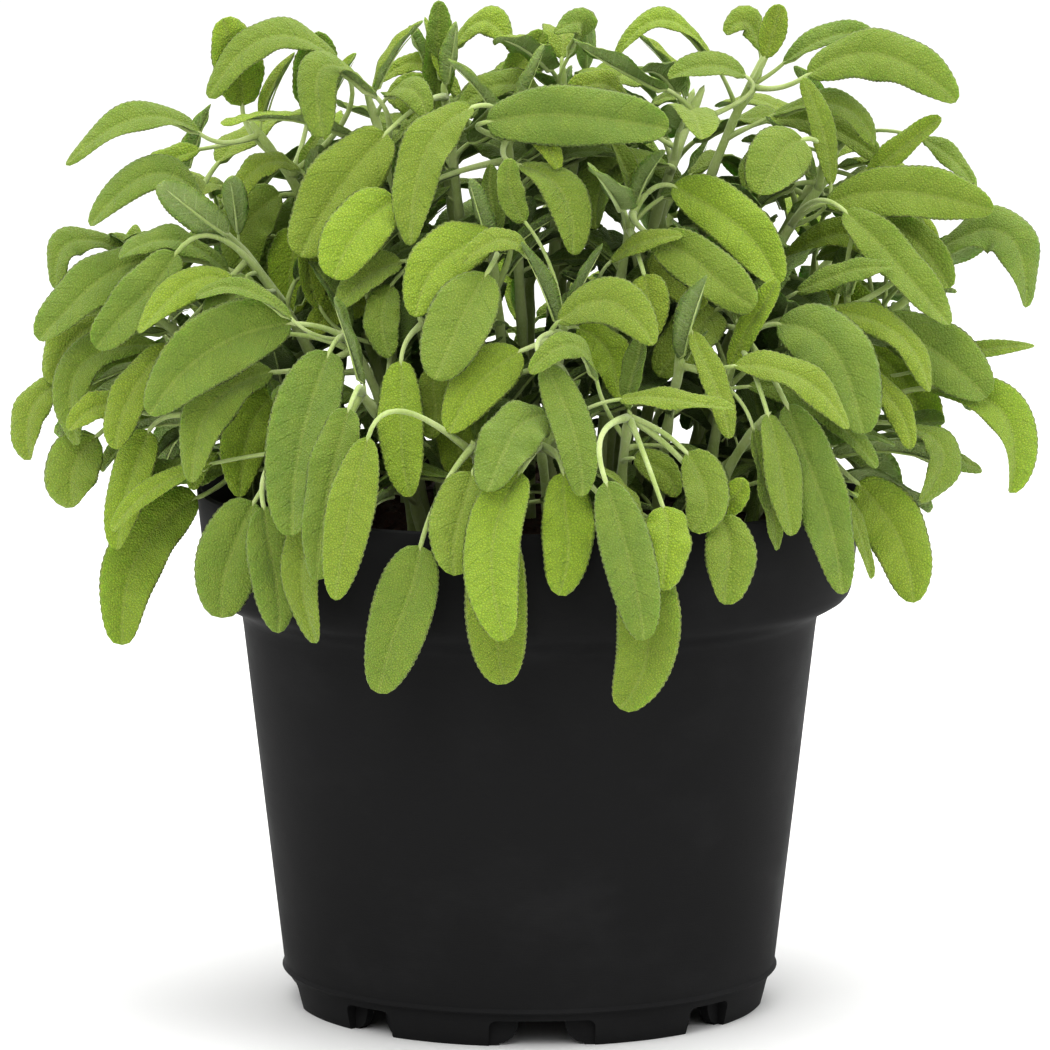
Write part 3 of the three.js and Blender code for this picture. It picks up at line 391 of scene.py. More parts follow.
SOIL_TOP = 102.5
SOIL_MOUND = 2.0
SOIL_LUMP = 0.7
SOIL_RADIUS = 66.9
SOIL_RINGS = 54
SOIL_TURNS = 168
# The rippled top lies this far under the plain solid's, and is smooth this near to the pot's wall.
SOIL_SINK = 0.4
SOIL_FADE = 2.0
CRUMBS = 1500
FIBRES = 150
CRUMB_FIELD = 65.2
CRUMB_SEED = 41
PEAT_DARK = (0.022, 0.0085, 0.006, 1.0)
PEAT_LIGHT = (0.085, 0.032, 0.019, 1.0)
GRAIN_COLOUR = (0.20, 0.11, 0.07, 1.0)
# Radius and height up the soil's side, inside the pot's wall.
SOIL_PROFILE = [(49.4, 8.6), (58.4, 84.6), (65.2, 90.6), (66.9, 101.6)]


def soil_height(x, y):
    mound = SOIL_MOUND * (1 - (x * x + y * y) / RIM_RADIUS**2)
    return SOIL_TOP + mound + SOIL_LUMP * np.sin(x * 0.21 + 1) * np.cos(y * 0.19)


def ripple(x, y):
    """The height of small lumps, from a sum of crossing waves."""
    height = 0.0
    for i in range(1, 8):
        turn = 2.39996 * i
        along = x * math.cos(turn) + y * math.sin(turn)
        beside = y * math.cos(turn) - x * math.sin(turn)
        wave = np.sin(along * (0.5 + 0.31 * i) + 1.7 * i) * np.cos(beside * (0.42 + 0.27 * i))
        height = height + wave / i
    return 0.34 * height


def soil_body():
    around = np.linspace(0.0, 2 * math.pi, SOIL_TURNS, endpoint=False)
    circle = np.stack([np.cos(around), np.sin(around)], 1)
    rings = []
    for radius in np.linspace(0.0, SOIL_RADIUS, SOIL_RINGS)[1:]:
        x, y = (circle * radius).T
        fade = min(1.0, (SOIL_RADIUS - radius) / SOIL_FADE)
        rings.append(np.stack([x, y, soil_height(x, y) - SOIL_SINK + fade * ripple(x, y)], 1))
    for radius, height in reversed(SOIL_PROFILE):
        rings.append(np.column_stack([circle * radius, np.full(SOIL_TURNS, height)]))
    middle = soil_height(0.0, 0.0) - SOIL_SINK + ripple(0.0, 0.0)
    vertices = np.vstack(rings + [[(0.0, 0.0, middle), (0.0, 0.0, SOIL_PROFILE[0][1])]])
    top, bottom = len(vertices) - 2, len(vertices) - 1
    faces = []
    last = (len(rings) - 1) * SOIL_TURNS
    for i in range(SOIL_TURNS):
        j = (i + 1) % SOIL_TURNS
        faces += [(top, i, j), (bottom, last + j, last + i)]
        for row in range(len(rings) - 1):
            a, b = row * SOIL_TURNS, (row + 1) * SOIL_TURNS
            faces.append((a + i, b + i, b + j, a + j))
    return vertices, faces


def crumb_shape():
    """A lump of soil, as a sphere with 20 faces."""
    shape = bmesh.new()
    bmesh.ops.create_icosphere(shape, subdivisions=1, radius=1.0)
    vertices = np.array([tuple(vertex.co) for vertex in shape.verts])
    faces = [tuple(vertex.index for vertex in face.verts) for face in shape.faces]
    shape.free()
    return vertices, faces


def scattered_crumbs(seed):
    """Crumbs, and long thin fibres, that lie on the soil."""
    draws = np.random.default_rng(seed)
    ball, ball_faces = crumb_shape()
    vertices, faces = [], []
    for i in range(CRUMBS + FIBRES):
        radius = CRUMB_FIELD * math.sqrt(draws.random())
        angle = 2 * math.pi * draws.random()
        x, y = radius * math.cos(angle), radius * math.sin(angle)
        if i < CRUMBS:
            size = 0.35 + 1.0 * draws.random() ** 3
            stretch = size * (0.7 + 0.6 * draws.random(3))
        else:
            size = 0.35
            stretch = np.array([2.0 + 3.5 * draws.random(), 0.28, 0.28])
        turn = 2 * math.pi * draws.random()
        tilt = 0.5 * (draws.random() - 0.5)
        spin = np.array([
            [math.cos(turn), -math.sin(turn), 0.0],
            [math.sin(turn), math.cos(turn), 0.0],
            [0.0, 0.0, 1.0],
        ]) @ np.array([
            [math.cos(tilt), 0.0, math.sin(tilt)],
            [0.0, 1.0, 0.0],
            [-math.sin(tilt), 0.0, math.cos(tilt)],
        ])
        rough = 1 + 0.22 * (draws.random((len(ball), 1)) - 0.5)
        height = soil_height(x, y) - SOIL_SINK + ripple(x, y) + 0.25 * size
        first = len(vertices) * len(ball)
        vertices.append((ball * rough * stretch) @ spin.T + (x, y, height))
        faces += [tuple(first + k for k in face) for face in ball_faces]
    return np.vstack(vertices), faces


body_vertices, body_faces = soil_body()
crumb_vertices, crumb_faces = scattered_crumbs(CRUMB_SEED)
soil = piece_from(
    "peat_soil",
    np.vstack([body_vertices, crumb_vertices]),
    body_faces + [tuple(i + len(body_vertices) for i in face) for face in crumb_faces],
)
square_up(soil)

peat = Finish("moist_peat")
clods = peat.noise(peat.place(), 0.55, detail=6.0, roughness=0.65)
specks = peat.noise(peat.place(), 1.9, detail=2.0)
brown = peat.blend(peat.step(clods, 0.3, 0.7), PEAT_DARK, PEAT_LIGHT)
peat.set(
    base_color=peat.blend(peat.step(specks, 0.66, 0.74), brown, GRAIN_COLOUR),
    roughness=peat.step(clods, 0.3, 0.7, 0.75, 0.95),
)
peat.bump(peat.noise(peat.place(), 1.1, detail=5.0, roughness=0.7), 0.6)
dress(soil, [peat.material], "soil")

# ---------------------------------------------------------------- the stems
# Sage makes square, woolly, pale stems. Some forty of them rise close together out of the soil,
# lean outwards and end in a tuft of young leaves. Each grew in one piece with its leaves.

ROOT_DEPTH = 8.0
ROOT_RADIUS = 2.4
TIP_RADIUS = 1.7
STEM_THINNESS = 0.5
STEM_CORNERS = 12
STEM_ROWS = 26
STEM_NODES = 12
NODE_SWELLING = 0.22
VIEW_DISTANCE = 1600.0
VIEW_SLOPE = 0.153
# The stem's root on the soil, then its tip as seen from the front (x, z) and the tip's depth y.
STEMS = [
    # front and sides
    ((-25, 2), (-58, 186), 0),
    ((-34, -10), (-63, 162), -14),
    ((-24, -24), (-39, 141), -34),
    ((-42, -2), (-80, 146), -6),
    ((-40, -20), (-70, 124), -24),
    ((-34, -32), (-52, 118), -42),
    ((-22, -36), (-36, 129), -47),
    ((-10, -30), (-23, 144), -42),
    ((-8, -48), (-12, 118), -58),
    ((4, -44), (2, 118), -58),
    ((4, -30), (7, 142), -46),
    ((18, -44), (21, 124), -57),
    ((26, -33), (32, 135), -46),
    ((36, -24), (45, 142), -34),
    ((36, -38), (50, 124), -44),
    ((46, -18), (72, 124), -22),
    ((42, -6), (68, 148), -10),
    ((32, 4), (62, 174), -4),
    ((22, 8), (50, 202), 4),
    ((15, -4), (36, 193), -4),
    ((14, -18), (22, 168), -24),
    ((0, -8), (-5, 184), -18),
    ((-4, -20), (-8, 158), -34),
    ((-11, 5), (-18, 194), 0),
    ((4, 8), (7, 198), 6),
    ((-18, -7), (-34, 192), -8),
    ((-22, -15), (-37, 156), -28),
    # back
    ((-34, 12), (-74, 176), 16),
    ((-26, 20), (-46, 188), 24),
    ((-12, 18), (-20, 196), 26),
    ((4, 20), (12, 198), 30),
    ((20, 20), (34, 194), 26),
    ((34, 14), (66, 184), 20),
    ((-46, 14), (-86, 150), 24),
    ((46, 6), (88, 156), 16),
    ((-38, 30), (-62, 158), 46),
    ((-18, 32), (-30, 172), 48),
    ((0, 36), (0, 176), 52),
    ((18, 34), (30, 170), 50),
    ((38, 28), (64, 160), 42),
    ((-26, 46), (-38, 142), 76),
    ((-2, 50), (-2, 146), 80),
    ((24, 46), (36, 142), 76),
]


def seen_at(seen, depth):
    """The real place of what the camera sees at (x, z) and lies at depth y."""
    return np.array([seen[0] * (1 + depth / VIEW_DISTANCE), depth, seen[1] - VIEW_SLOPE * depth])


def length_of(direction):
    return np.sqrt((direction * direction).sum(-1))


def unit(direction):
    return direction / length_of(direction)[..., None]


def square_both(first, second):
    """The direction square to both."""
    x, y, z = first[..., 0], first[..., 1], first[..., 2]
    a, b, c = second[..., 0], second[..., 1], second[..., 2]
    return np.stack([y * c - z * b, z * a - x * c, x * b - y * a], -1)


class Arc:
    """A curve that leaves `start` towards `bend` and reaches `end` coming from it."""

    def __init__(self, start, bend, end):
        self.start, self.bend, self.end = start, bend, end
        self.length = float(length_of(np.array([bend - start, end - bend, end - start])).sum()) / 2

    def at(self, t):
        t = np.asarray(t, float)[..., None]
        return self.start * (1 - t) ** 2 + self.bend * (2 * t * (1 - t)) + self.end * t * t

    def heading(self, t):
        t = np.asarray(t, float)[..., None]
        return unit((self.bend - self.start) * (1 - t) + (self.end - self.bend) * t)


def square_to(direction, heading):
    """The part of a direction that is square to a heading."""
    along = (direction * heading).sum(-1, keepdims=True)
    return unit(direction - along * heading)


class Draws:
    """Seeded draws between -1 and 1, the same as those that grew the plain solids."""

    def __init__(self, *keys):
        self.state = 104729 + sum((key + 1) * 7919 * (1 + 31 * i) for i, key in enumerate(keys))
        self.next(), self.next()

    def next(self):
        self.state = self.state * 16807 % 2147483647
        return 2 * self.state / 2147483647 - 1


class Stem:
    """A stem's middle line, how its first pair of leaves is turned, and the leaves on it."""

    def __init__(self, owner, root, tip, depth):
        self.owner = owner
        start = np.array([*root, soil_height(*root) + 1])
        end = seen_at(tip, depth)
        bend = start + (end - start) * 0.28
        bend[2] = start[2] + 0.62 * (end[2] - start[2])
        self.line = Arc(start, bend, end)
        self.turn = math.pi * Draws(owner, 7).next()
        self.leaves = []


stems = [Stem(owner, *row) for owner, row in enumerate(STEMS)]

# ---------------------------------------------------------------- how the leaves stand
# Leaves grow in opposite pairs, each pair a quarter turn round from the last: large and hanging
# low on the stem, small and upright at its tip. Each takes the first pose that has room.

MOST_LEAVES = 7
PAIR_ROUNDS = 5
NODE_SPACING = 13.0
TOP_PAIR = 6.0
PAIR_STAGGER = 0.9
STALK_HALF_WIDTH = 0.8
BLADE_THICKNESS = 1.4
BLADE_FOLD = 0.24
GROWN_STATIONS = (0.18, 0.55, 0.88)
YOUNG_STATIONS = (0.35, 0.78)
CROWN_CENTRE = 132.0
CROWN_RADII = (106.0, 88.0)
CROWN_RADIUS_UP = 78.0
CROWN_RADIUS_DOWN = 66.0
SHADE = 0.66
CLEARANCE = 2.9
OWN_CLEARANCE = 1.5
SAMPLE_STEP = 2.2
CELL = CLEARANCE + ROOT_RADIUS
SOIL_AIR = 1.5
RIM_AIR = 1.2
RIM_WIDTH = 5.0
MOST_SAMPLES = 120000
YOUNG_SLIMNESS = 0.3
TRIES = 24
# The leaves that face the viewer. Each blade is seen from the front at its base,
# middle and tip (x, z); then y at base and tip, its width, and its roll away from facing us.
SHOWN_LEAVES = [
    # lower right
    ((54, 126), (61, 108), (66, 87), (-45, -54), 11, -10),
    ((69, 110), (77, 100), (81, 85), (-28, -32), 13, -15),
    ((79, 122), (87, 116), (82, 106), (-24, -30), 9, -35),
    ((84, 130), (100, 124), (101, 108), (-15, -21), 11, -35),
    ((19, 127), (30, 127), (43, 125), (-56, -63), 6, -55),
    ((33, 116), (37, 108), (34, 100), (-62, -68), 10, -15),
    ((40, 103), (42, 95), (41, 85), (-64, -67), 11, -15),
    ((42, 134), (47, 144), (52, 152), (-38, -42), 6, -30),
    ((43, 134), (56, 132), (67, 121), (-48, -55), 9, -45),
    # lower middle
    ((4, 124), (-4, 119), (-9, 108), (-62, -77), 12, 20),
    ((3, 134), (9, 121), (11, 107), (-52, -66), 9, -15),
    ((7, 112), (8, 100), (6, 87), (-66, -75), 11, -8),
    ((16, 110), (21, 94), (24, 78), (-78, -87), 11, -10),
    ((20, 99), (25, 80), (19, 64), (-73, -82), 13, -5),
    ((-23, 97), (-27, 83), (-32, 67), (-70, -75), 13, 12),
    ((-2, 112), (-8, 96), (-5, 78), (-72, -90), 12, 12),
    ((-6, 101), (-7, 83), (-5, 69), (-73, -79), 13, 5),
    ((-12, 112), (-15, 102), (-16, 91), (-68, -79), 12, 12),
    ((-2, 137), (-10, 131), (-17, 120), (-50, -60), 12, 20),
    ((-27, 135), (-27, 121), (-25, 107), (-48, -61), 10, 15),
    ((14, 131), (9, 138), (0, 132), (-52, -60), 7, 50),
    ((28, 105), (29, 98), (28, 88), (-67, -73), 10, -15),
    ((34, 141), (39, 130), (42, 119), (-47, -57), 6, -25),
    ((39, 146), (34, 141), (27, 132), (-37, -47), 11, 22),
    ((6, 143), (17, 147), (26, 138), (-46, -56), 11, -25),
    # lower left
    ((-42, 137), (-48, 119), (-50, 99), (-44, -64), 14, 12),
    ((-70, 107), (-82, 96), (-86, 76), (-18, -23), 13, 15),
    ((-58, 106), (-63, 95), (-65, 82), (-42, -46), 14, 12),
    ((-46, 105), (-48, 92), (-45, 77), (-57, -62), 9, 30),
    ((-38, 125), (-42, 110), (-45, 90), (-56, -64), 10, 15),
    ((-34, 119), (-38, 103), (-41, 86), (-63, -73), 10, 10),
    ((-56, 105), (-54, 93), (-53, 79), (-50, -54), 11, -12),
    ((-54, 133), (-66, 127), (-71, 110), (-36, -46), 11, 25),
    ((-78, 139), (-94, 135), (-95, 118), (-12, -20), 10, 35),
    ((-98, 132), (-105, 125), (-105, 115), (-6, -10), 9, 35),
    ((-91, 120), (-96, 113), (-96, 105), (-14, -18), 13, 25),
    ((-80, 121), (-84, 111), (-87, 96), (-24, -29), 10, 25),
    ((-76, 139), (-84, 128), (-87, 117), (-26, -34), 9, 25),
    ((-67, 114), (-79, 109), (-88, 100), (-34, -38), 6, 50),
    ((-89, 145), (-97, 139), (-100, 131), (-4, -8), 10, 35),
    # upper left
    ((-69, 184), (-82, 187), (-97, 177), (-2, -8), 9, 55),
    ((-69, 181), (-77, 178), (-83, 172), (6, 4), 8, 55),
    ((-68, 169), (-79, 175), (-92, 164), (-8, -14), 10, 45),
    ((-84, 159), (-96, 161), (-99, 151), (-4, -8), 9, 50),
    ((-63, 154), (-75, 161), (-86, 157), (-16, -24), 9, 60),
    ((-77, 157), (-91, 152), (-103, 140), (-14, -18), 12, 35),
    ((-74, 158), (-82, 148), (-91, 138), (-22, -28), 11, 25),
    ((-62, 152), (-72, 151), (-82, 141), (-28, -36), 9, 40),
    ((-50, 143), (-66, 138), (-80, 124), (-38, -46), 15, 12),
    ((-60, 190), (-61, 199), (-64, 208), (2, -2), 11, 20),
    ((-40, 199), (-54, 204), (-67, 191), (0, -6), 10, 50),
    ((-32, 191), (-43, 197), (-43, 182), (-6, -14), 11, 40),
    ((-30, 183), (-40, 171), (-48, 157), (-20, -30), 15, 18),
    ((-28, 169), (-36, 162), (-41, 152), (-28, -38), 13, 18),
    ((-44, 147), (-46, 157), (-43, 168), (-26, -28), 6, 25),
    ((-27, 156), (-34, 153), (-40, 146), (-32, -38), 8, 35),
    # upper middle
    ((-20, 189), (-19, 200), (-19, 212), (-2, -5), 7, 12),
    ((-16, 202), (-9, 208), (-3, 201), (4, 0), 8, -45),
    ((8, 200), (11, 207), (5, 205), (6, 3), 7, 40),
    ((38, 200), (27, 208), (17, 198), (4, 0), 7, 55),
    ((4, 190), (-5, 194), (-15, 188), (-4, -9), 8, 55),
    ((-12, 188), (-22, 178), (-25, 159), (-22, -34), 11, 25),
    ((-9, 185), (10, 186), (29, 183), (-18, -28), 13, -20),
    ((-7, 161), (-18, 156), (-24, 144), (-36, -48), 13, 25),
    ((-9, 153), (-15, 142), (-20, 131), (-46, -58), 14, 18),
    ((29, 177), (17, 176), (14, 163), (-8, -20), 12, 45),
    ((-2, 176), (7, 170), (9, 157), (-28, -39), 10, -35),
    ((17, 156), (24, 160), (32, 161), (-32, -38), 6, -55),
    ((26, 161), (37, 154), (47, 146), (-32, -44), 11, -20),
    ((30, 172), (43, 164), (52, 151), (-22, -35), 12, -18),
    ((24, 153), (25, 147), (25, 139), (-38, -44), 9, 12),
    # upper right
    ((45, 196), (37, 198), (29, 195), (0, -6), 8, 50),
    ((53, 199), (65, 205), (76, 200), (4, 0), 7, -50),
    ((58, 196), (74, 200), (89, 190), (-4, -10), 12, -30),
    ((63, 173), (61, 185), (57, 195), (-8, -12), 6, 30),
    ((51, 188), (64, 190), (72, 181), (-6, -14), 8, -55),
    ((70, 174), (78, 181), (86, 187), (-4, -8), 6, -40),
    ((57, 182), (52, 178), (48, 170), (-14, -24), 13, 12),
    ((62, 169), (80, 171), (97, 167), (-8, -16), 12, -30),
    ((66, 167), (77, 156), (88, 143), (-16, -26), 10, -25),
    ((84, 158), (99, 163), (104, 147), (-6, -12), 12, -35),
    ((61, 146), (76, 142), (84, 129), (-22, -32), 8, -40),
    ((84, 135), (94, 138), (106, 139), (-8, -12), 5, -55),
    ((52, 143), (64, 137), (70, 120), (-34, -46), 15, -15),
    ((74, 144), (86, 137), (96, 128), (-8, -14), 14, -30),
    # behind and between those
    ((50, 124), (53, 112), (55, 99), (-45, -50), 9, -35),
    ((47, 121), (50, 108), (52, 96), (-50, -53), 6, -45),
    ((65, 109), (69, 101), (72, 90), (-36, -38), 5, -55),
    ((22, 115), (27, 113), (31, 107), (-56, -61), 7, -20),
    ((40, 104), (43, 107), (45, 111), (-59, -60), 6, -10),
    ((70, 139), (79, 131), (84, 119), (-8, -13), 11, -20),
    ((-13, 125), (-15, 118), (-12, 109), (-46, -50), 9, 10),
    ((-20, 134), (-20, 127), (-21, 119), (-44, -50), 8, 10),
    ((10, 142), (17, 136), (19, 127), (-42, -48), 9, -20),
    ((-52, 129), (-59, 121), (-61, 107), (-31, -37), 11, 15),
    ((-85, 126), (-91, 126), (-97, 121), (-20, -24), 7, 35),
    ((-50, 144), (-60, 150), (-70, 148), (-40, -44), 5, 55),
    ((-49, 164), (-50, 156), (-49, 146), (-10, -15), 10, 12),
    ((-52, 171), (-59, 165), (-60, 153), (-2, -8), 12, 20),
    ((-48, 176), (-56, 177), (-63, 167), (-6, -12), 7, 45),
    ((-33, 147), (-40, 147), (-46, 141), (-16, -20), 8, 30),
    ((-46, 190), (-45, 198), (-44, 206), (10, 8), 10, 20),
    ((-29, 151), (-31, 144), (-29, 136), (-38, -46), 8, 10),
    ((-5, 194), (-1, 200), (3, 206), (0, -2), 7, -20),
    ((22, 188), (15, 194), (8, 190), (-8, -12), 7, 50),
    ((-14, 192), (-22, 200), (-31, 196), (14, 12), 6, 50),
    ((-18, 186), (-24, 192), (-30, 192), (4, 6), 10, 20),
    ((-1, 164), (-4, 170), (-4, 177), (-32, -34), 6, 20),
    ((-2, 184), (3, 181), (6, 175), (-28, -32), 5, -25),
    ((1, 156), (-6, 160), (-14, 155), (-38, -44), 6, 45),
    ((26, 158), (31, 153), (36, 146), (-26, -34), 10, -20),
    ((56, 150), (66, 154), (76, 155), (-20, -26), 6, -40),
    ((54, 158), (65, 163), (75, 157), (-8, -12), 8, -45),
    ((50, 187), (62, 186), (74, 178), (-1, -5), 8, -45),
    ((74, 165), (82, 160), (88, 151), (-3, -8), 8, -20),
    ((58, 153), (67, 148), (75, 140), (-2, -8), 11, -20),
    ((82, 183), (88, 179), (93, 172), (1, -3), 6, -45),
    ((49, 200), (51, 206), (52, 211), (4, 2), 6, -20),
    ((48, 202), (45, 208), (41, 205), (8, 6), 7, 35),
    ((71, 133), (77, 126), (80, 117), (-28, -36), 6, -25),
    ((46, 130), (61, 126), (73, 113), (-44, -50), 7, -35),
]


def blade_outline(u):
    """Half the blade's width along its length, as a share of the widest."""
    return np.clip(np.sin(math.pi * np.asarray(u, float) ** 0.88), 0.0, None) ** 0.42


class Blade:
    """A blade's bent rib and its width, with the points that its neighbours keep clear of."""

    def __init__(self, base, bend, tip, width, side, stations):
        self.rib = Arc(base, bend, tip)
        self.width, self.side, self.stations = width, side, stations
        u = np.array([0.0, *stations])
        half = np.array([STALK_HALF_WIDTH, *(width / 2 * blade_outline(stations))])
        fold = np.where(u > 0, BLADE_FOLD, 0.0)
        top, bottom = np.where(u > 0, 0.1, half), np.where(u > 0, BLADE_THICKNESS, half)
        centre, heading = self.rib.at(u), self.rib.heading(u)
        across = square_to(side, heading)
        up = square_both(across, heading)
        lift = up * (half * fold)[:, None]
        left, right = centre + across * half[:, None] + lift, centre - across * half[:, None] + lift
        # Each cross-section's left edge, underside, right edge and upper side.
        under, over = centre - up * bottom[:, None], centre + up * top[:, None]
        self.sections = np.stack([left, under, right, over], 1)
        middles = (self.sections[:, 1] + self.sections[:, 3]) / 2
        self.corners = np.vstack([[tip], left, right, middles])
        self.points = None

    def samples(self):
        if self.points is None:
            ends = np.vstack([self.sections[1:], [[self.rib.end] * 4]])
            rows = [self.rib.end[None]]
            for section, following in zip(self.sections, ends):
                steps = math.ceil(length_of(section[3] - following[3]) / SAMPLE_STEP)
                shares = (np.arange(steps) / steps)[:, None, None]
                between = section + (following - section) * shares
                left, under, right, top = np.moveaxis(between, 1, 0)
                middle = top + (under - top) * 0.5
                counts = np.ceil(length_of(left - middle) / SAMPLE_STEP).astype(int)
                row = np.repeat(np.arange(steps), counts)
                place = np.arange(counts.sum()) - np.repeat(np.cumsum(counts) - counts, counts)
                share = (place / counts[row])[:, None]
                rows += [edge[row] + (middle[row] - edge[row]) * share for edge in (left, right)]
                rows.append(middle)
            self.points = np.vstack(rows)
        return self.points


class Leaf:
    """A stalk from `root` on the stem to the blade's base, and the blade."""

    def __init__(self, root, blade, shown=False):
        base, bend = blade.rib.start, blade.rib.bend
        reach = 0.5 * length_of(base - root) / length_of(bend - base)
        self.stalk = Arc(root, base - (bend - base) * reach, base)
        self.blade, self.shown = blade, shown
        self.young = len(blade.stations) == len(YOUNG_STATIONS)

    def samples(self):
        """Points spread over the leaf, with the room each needs and whether it is on the blade."""
        root, base = self.stalk.start, self.stalk.end
        steps = math.ceil(length_of(base - root) / SAMPLE_STEP)
        stalk = (root + (base - root) * (np.arange(steps) / steps)[:, None])[2:]
        places = np.vstack([stalk, self.blade.samples()])
        on_blade = np.arange(len(places)) >= len(stalk)
        return places, np.where(on_blade, 0.0, STALK_HALF_WIDTH / 2), on_blade

    def corner_samples(self):
        """The few of these that lie on the blade's corners, for a first quick test."""
        corners = self.blade.corners
        return corners, np.zeros(len(corners)), np.ones(len(corners), bool)


class Crowd:
    """Points spread over all that has grown so far, with the room that each needs."""

    def __init__(self, most):
        self.count = 0
        self.places = np.zeros((most, 3))
        self.reaches = np.zeros(most)
        self.on_blade = np.zeros(most, bool)
        self.owners = np.full(most, -1)

    def settle(self, places, reaches, on_blade, owner):
        rows = slice(self.count, self.count + len(places))
        self.places[rows], self.reaches[rows] = places, reaches
        self.on_blade[rows], self.owners[rows] = on_blade, owner
        self.count = rows.stop

    def touches(self, places, reaches, on_blade, owner, nestled, air, own_air):
        """Whether new points come too near to those of other stems, or of their own."""
        margin = air + 2 * ROOT_RADIUS
        taken = self.places[: self.count]
        inside = (taken > places.min(0) - margin) & (taken < places.max(0) + margin)
        near = np.flatnonzero(inside.all(1))
        if not len(near):
            return False
        taken, own = taken[near], self.owners[near] == owner
        apart = length_of(places[:, None] - taken[None])
        room = np.where(own, own_air, air)[None] + reaches[:, None] + self.reaches[near][None]
        mine, theirs = np.nonzero(apart < room)
        both_stalks = ~(on_blade[mine] | self.on_blade[near[theirs]])
        allowed = own[theirs] & (nestled | both_stalks)
        cells = np.floor(places[mine] / CELL) - np.floor(taken[theirs] / CELL)
        neighbours = (np.abs(cells) <= 1).all(1)
        return bool((~allowed & neighbours).any())


def in_pot_or_soil(places, air=SOIL_AIR):
    x, y, z = places.T
    radius = np.hypot(x, y)
    over_rim = radius > RIM_RADIUS - RIM_WIDTH
    in_rim = over_rim & (radius < RIM_RADIUS + RIM_AIR) & (z < POT_HEIGHT + RIM_AIR)
    return in_rim | (~over_rim & (z < soil_height(x, y) + air))


def crown_share(places):
    """How far out in the crown a place is: 0 in the middle, 1 on the crown's outline."""
    high = places[..., 2] - CROWN_CENTRE
    tall = np.where(high > 0, CROWN_RADIUS_UP, CROWN_RADIUS_DOWN)
    x, y = places[..., 0] / CROWN_RADII[0], places[..., 1] / CROWN_RADII[1]
    return np.sqrt(x * x + y * y + (high / tall) ** 2)


crowd = Crowd(MOST_SAMPLES)


def grow(stem, leaf, nestled=False):
    """Adds the leaf to its stem if it has room there."""
    for samples in (leaf.corner_samples(), leaf.samples()):
        if in_pot_or_soil(samples[0]).any():
            return False
        if not leaf.shown and (crown_share(samples[0]) >= 1).any():
            return False
        if crowd.touches(*samples, stem.owner, nestled, CLEARANCE, OWN_CLEARANCE):
            return False
    crowd.settle(*samples, stem.owner)
    stem.leaves.append(leaf)
    return True


def settle_stem(stem):
    """Lets the leaves of other stems keep clear of this one."""
    steps = math.ceil(stem.line.length / SAMPLE_STEP)
    t = np.arange(steps + 1) / steps
    reaches = ROOT_RADIUS + (TIP_RADIUS - ROOT_RADIUS) * t
    crowd.settle(stem.line.at(t), reaches, np.zeros(len(t), bool), stem.owner)


def stalk_roots(base, bend):
    """Places on the stems that a shown leaf could grow from, the most natural first."""
    outward = unit(bend - base)
    places = np.arange(4, 15) / 14.5
    roots = np.array([stem.line.at(places) for stem in stems])
    stalks = base - roots
    lengths = length_of(stalks)
    costs = 0.5 * np.abs(lengths - 11) + 14 * (1 - stalks @ outward / lengths)
    costs = np.where((lengths < 4) | (lengths > 30), np.inf, costs).ravel()
    best = [i for i in np.argsort(costs, kind="stable")[:10] if costs[i] < np.inf]
    return [(stems[i // len(places)], roots.reshape(-1, 3)[i]) for i in best]


def grow_shown_leaf(seen_base, seen_middle, seen_tip, depths, width, turn):
    """A leaf that faces the viewer, at the first depth near its own where it has room."""
    for i in range(TRIES):
        shift = (1 if i % 2 else -1) * math.ceil(i / 2) * 0.8
        base = seen_at(seen_base, depths[0] + shift)
        tip = seen_at(seen_tip, depths[1] + shift)
        middle = seen_at(seen_middle, (depths[0] + depths[1]) / 2 + shift)
        bend = middle * 2 - base * 0.5 - tip * 0.5
        along = unit(tip - base)
        flat = unit(square_both(along, np.array([0.0, -1.0, 0.0])))
        back = unit(square_both(flat, along))
        side = flat * math.cos(math.radians(turn)) - back * math.sin(math.radians(turn))
        blade = Blade(base, bend, tip, width, side, GROWN_STATIONS)
        if in_pot_or_soil(blade.corners).any():
            continue
        for stem, root in stalk_roots(base, bend):
            if grow(stem, Leaf(root, blade, shown=True)):
                return


def turned_about(direction, axis, angle):
    """The direction turned round an axis."""
    cosine, sine = math.cos(angle), math.sin(angle)
    beside = square_both(axis, direction)
    return direction * cosine + beside * sine + axis * (axis @ direction) * (1 - cosine)


def leaf_from(root, heading, lift, droop, roll, stalk, length, width, stations):
    """A leaf by its heading round the stem and the angles at which its blade leaves and ends."""

    def along(angle):
        flat = math.cos(math.radians(angle))
        level = (flat * math.cos(heading), flat * math.sin(heading))
        return np.array([*level, math.sin(math.radians(angle))])

    base = root + along(lift + 12) * stalk
    bend = base + along(lift) * (length / 2)
    tip = bend + along(droop) * (length / 2)
    side = np.array([-math.sin(heading), math.cos(heading), 0.0])
    side = -turned_about(side, along((lift + droop) / 2), math.radians(roll))
    return Leaf(root, Blade(base, bend, tip, width, side, stations))


def grow_tip(stem):
    """The young pair at a stem's tip: narrow leaves that still stand up."""
    for half in range(2):
        draws = Draws(stem.owner, 90, half)
        root = stem.line.at(1 - (2.5 + PAIR_STAGGER * half) / stem.line.length)
        for _ in range(TRIES):
            length = 18 + 3 * draws.next()
            heading = stem.turn + math.pi * (0.5 + half) + math.radians(23) * draws.next()
            lift = 68 + 10 * draws.next()
            droop = 50 + 18 * draws.next()
            roll = 15 * draws.next()
            width = length * YOUNG_SLIMNESS
            leaf = leaf_from(root, heading, lift, droop, roll, 3.0, length, width, YOUNG_STATIONS)
            if grow(stem, leaf, nestled=True):
                break


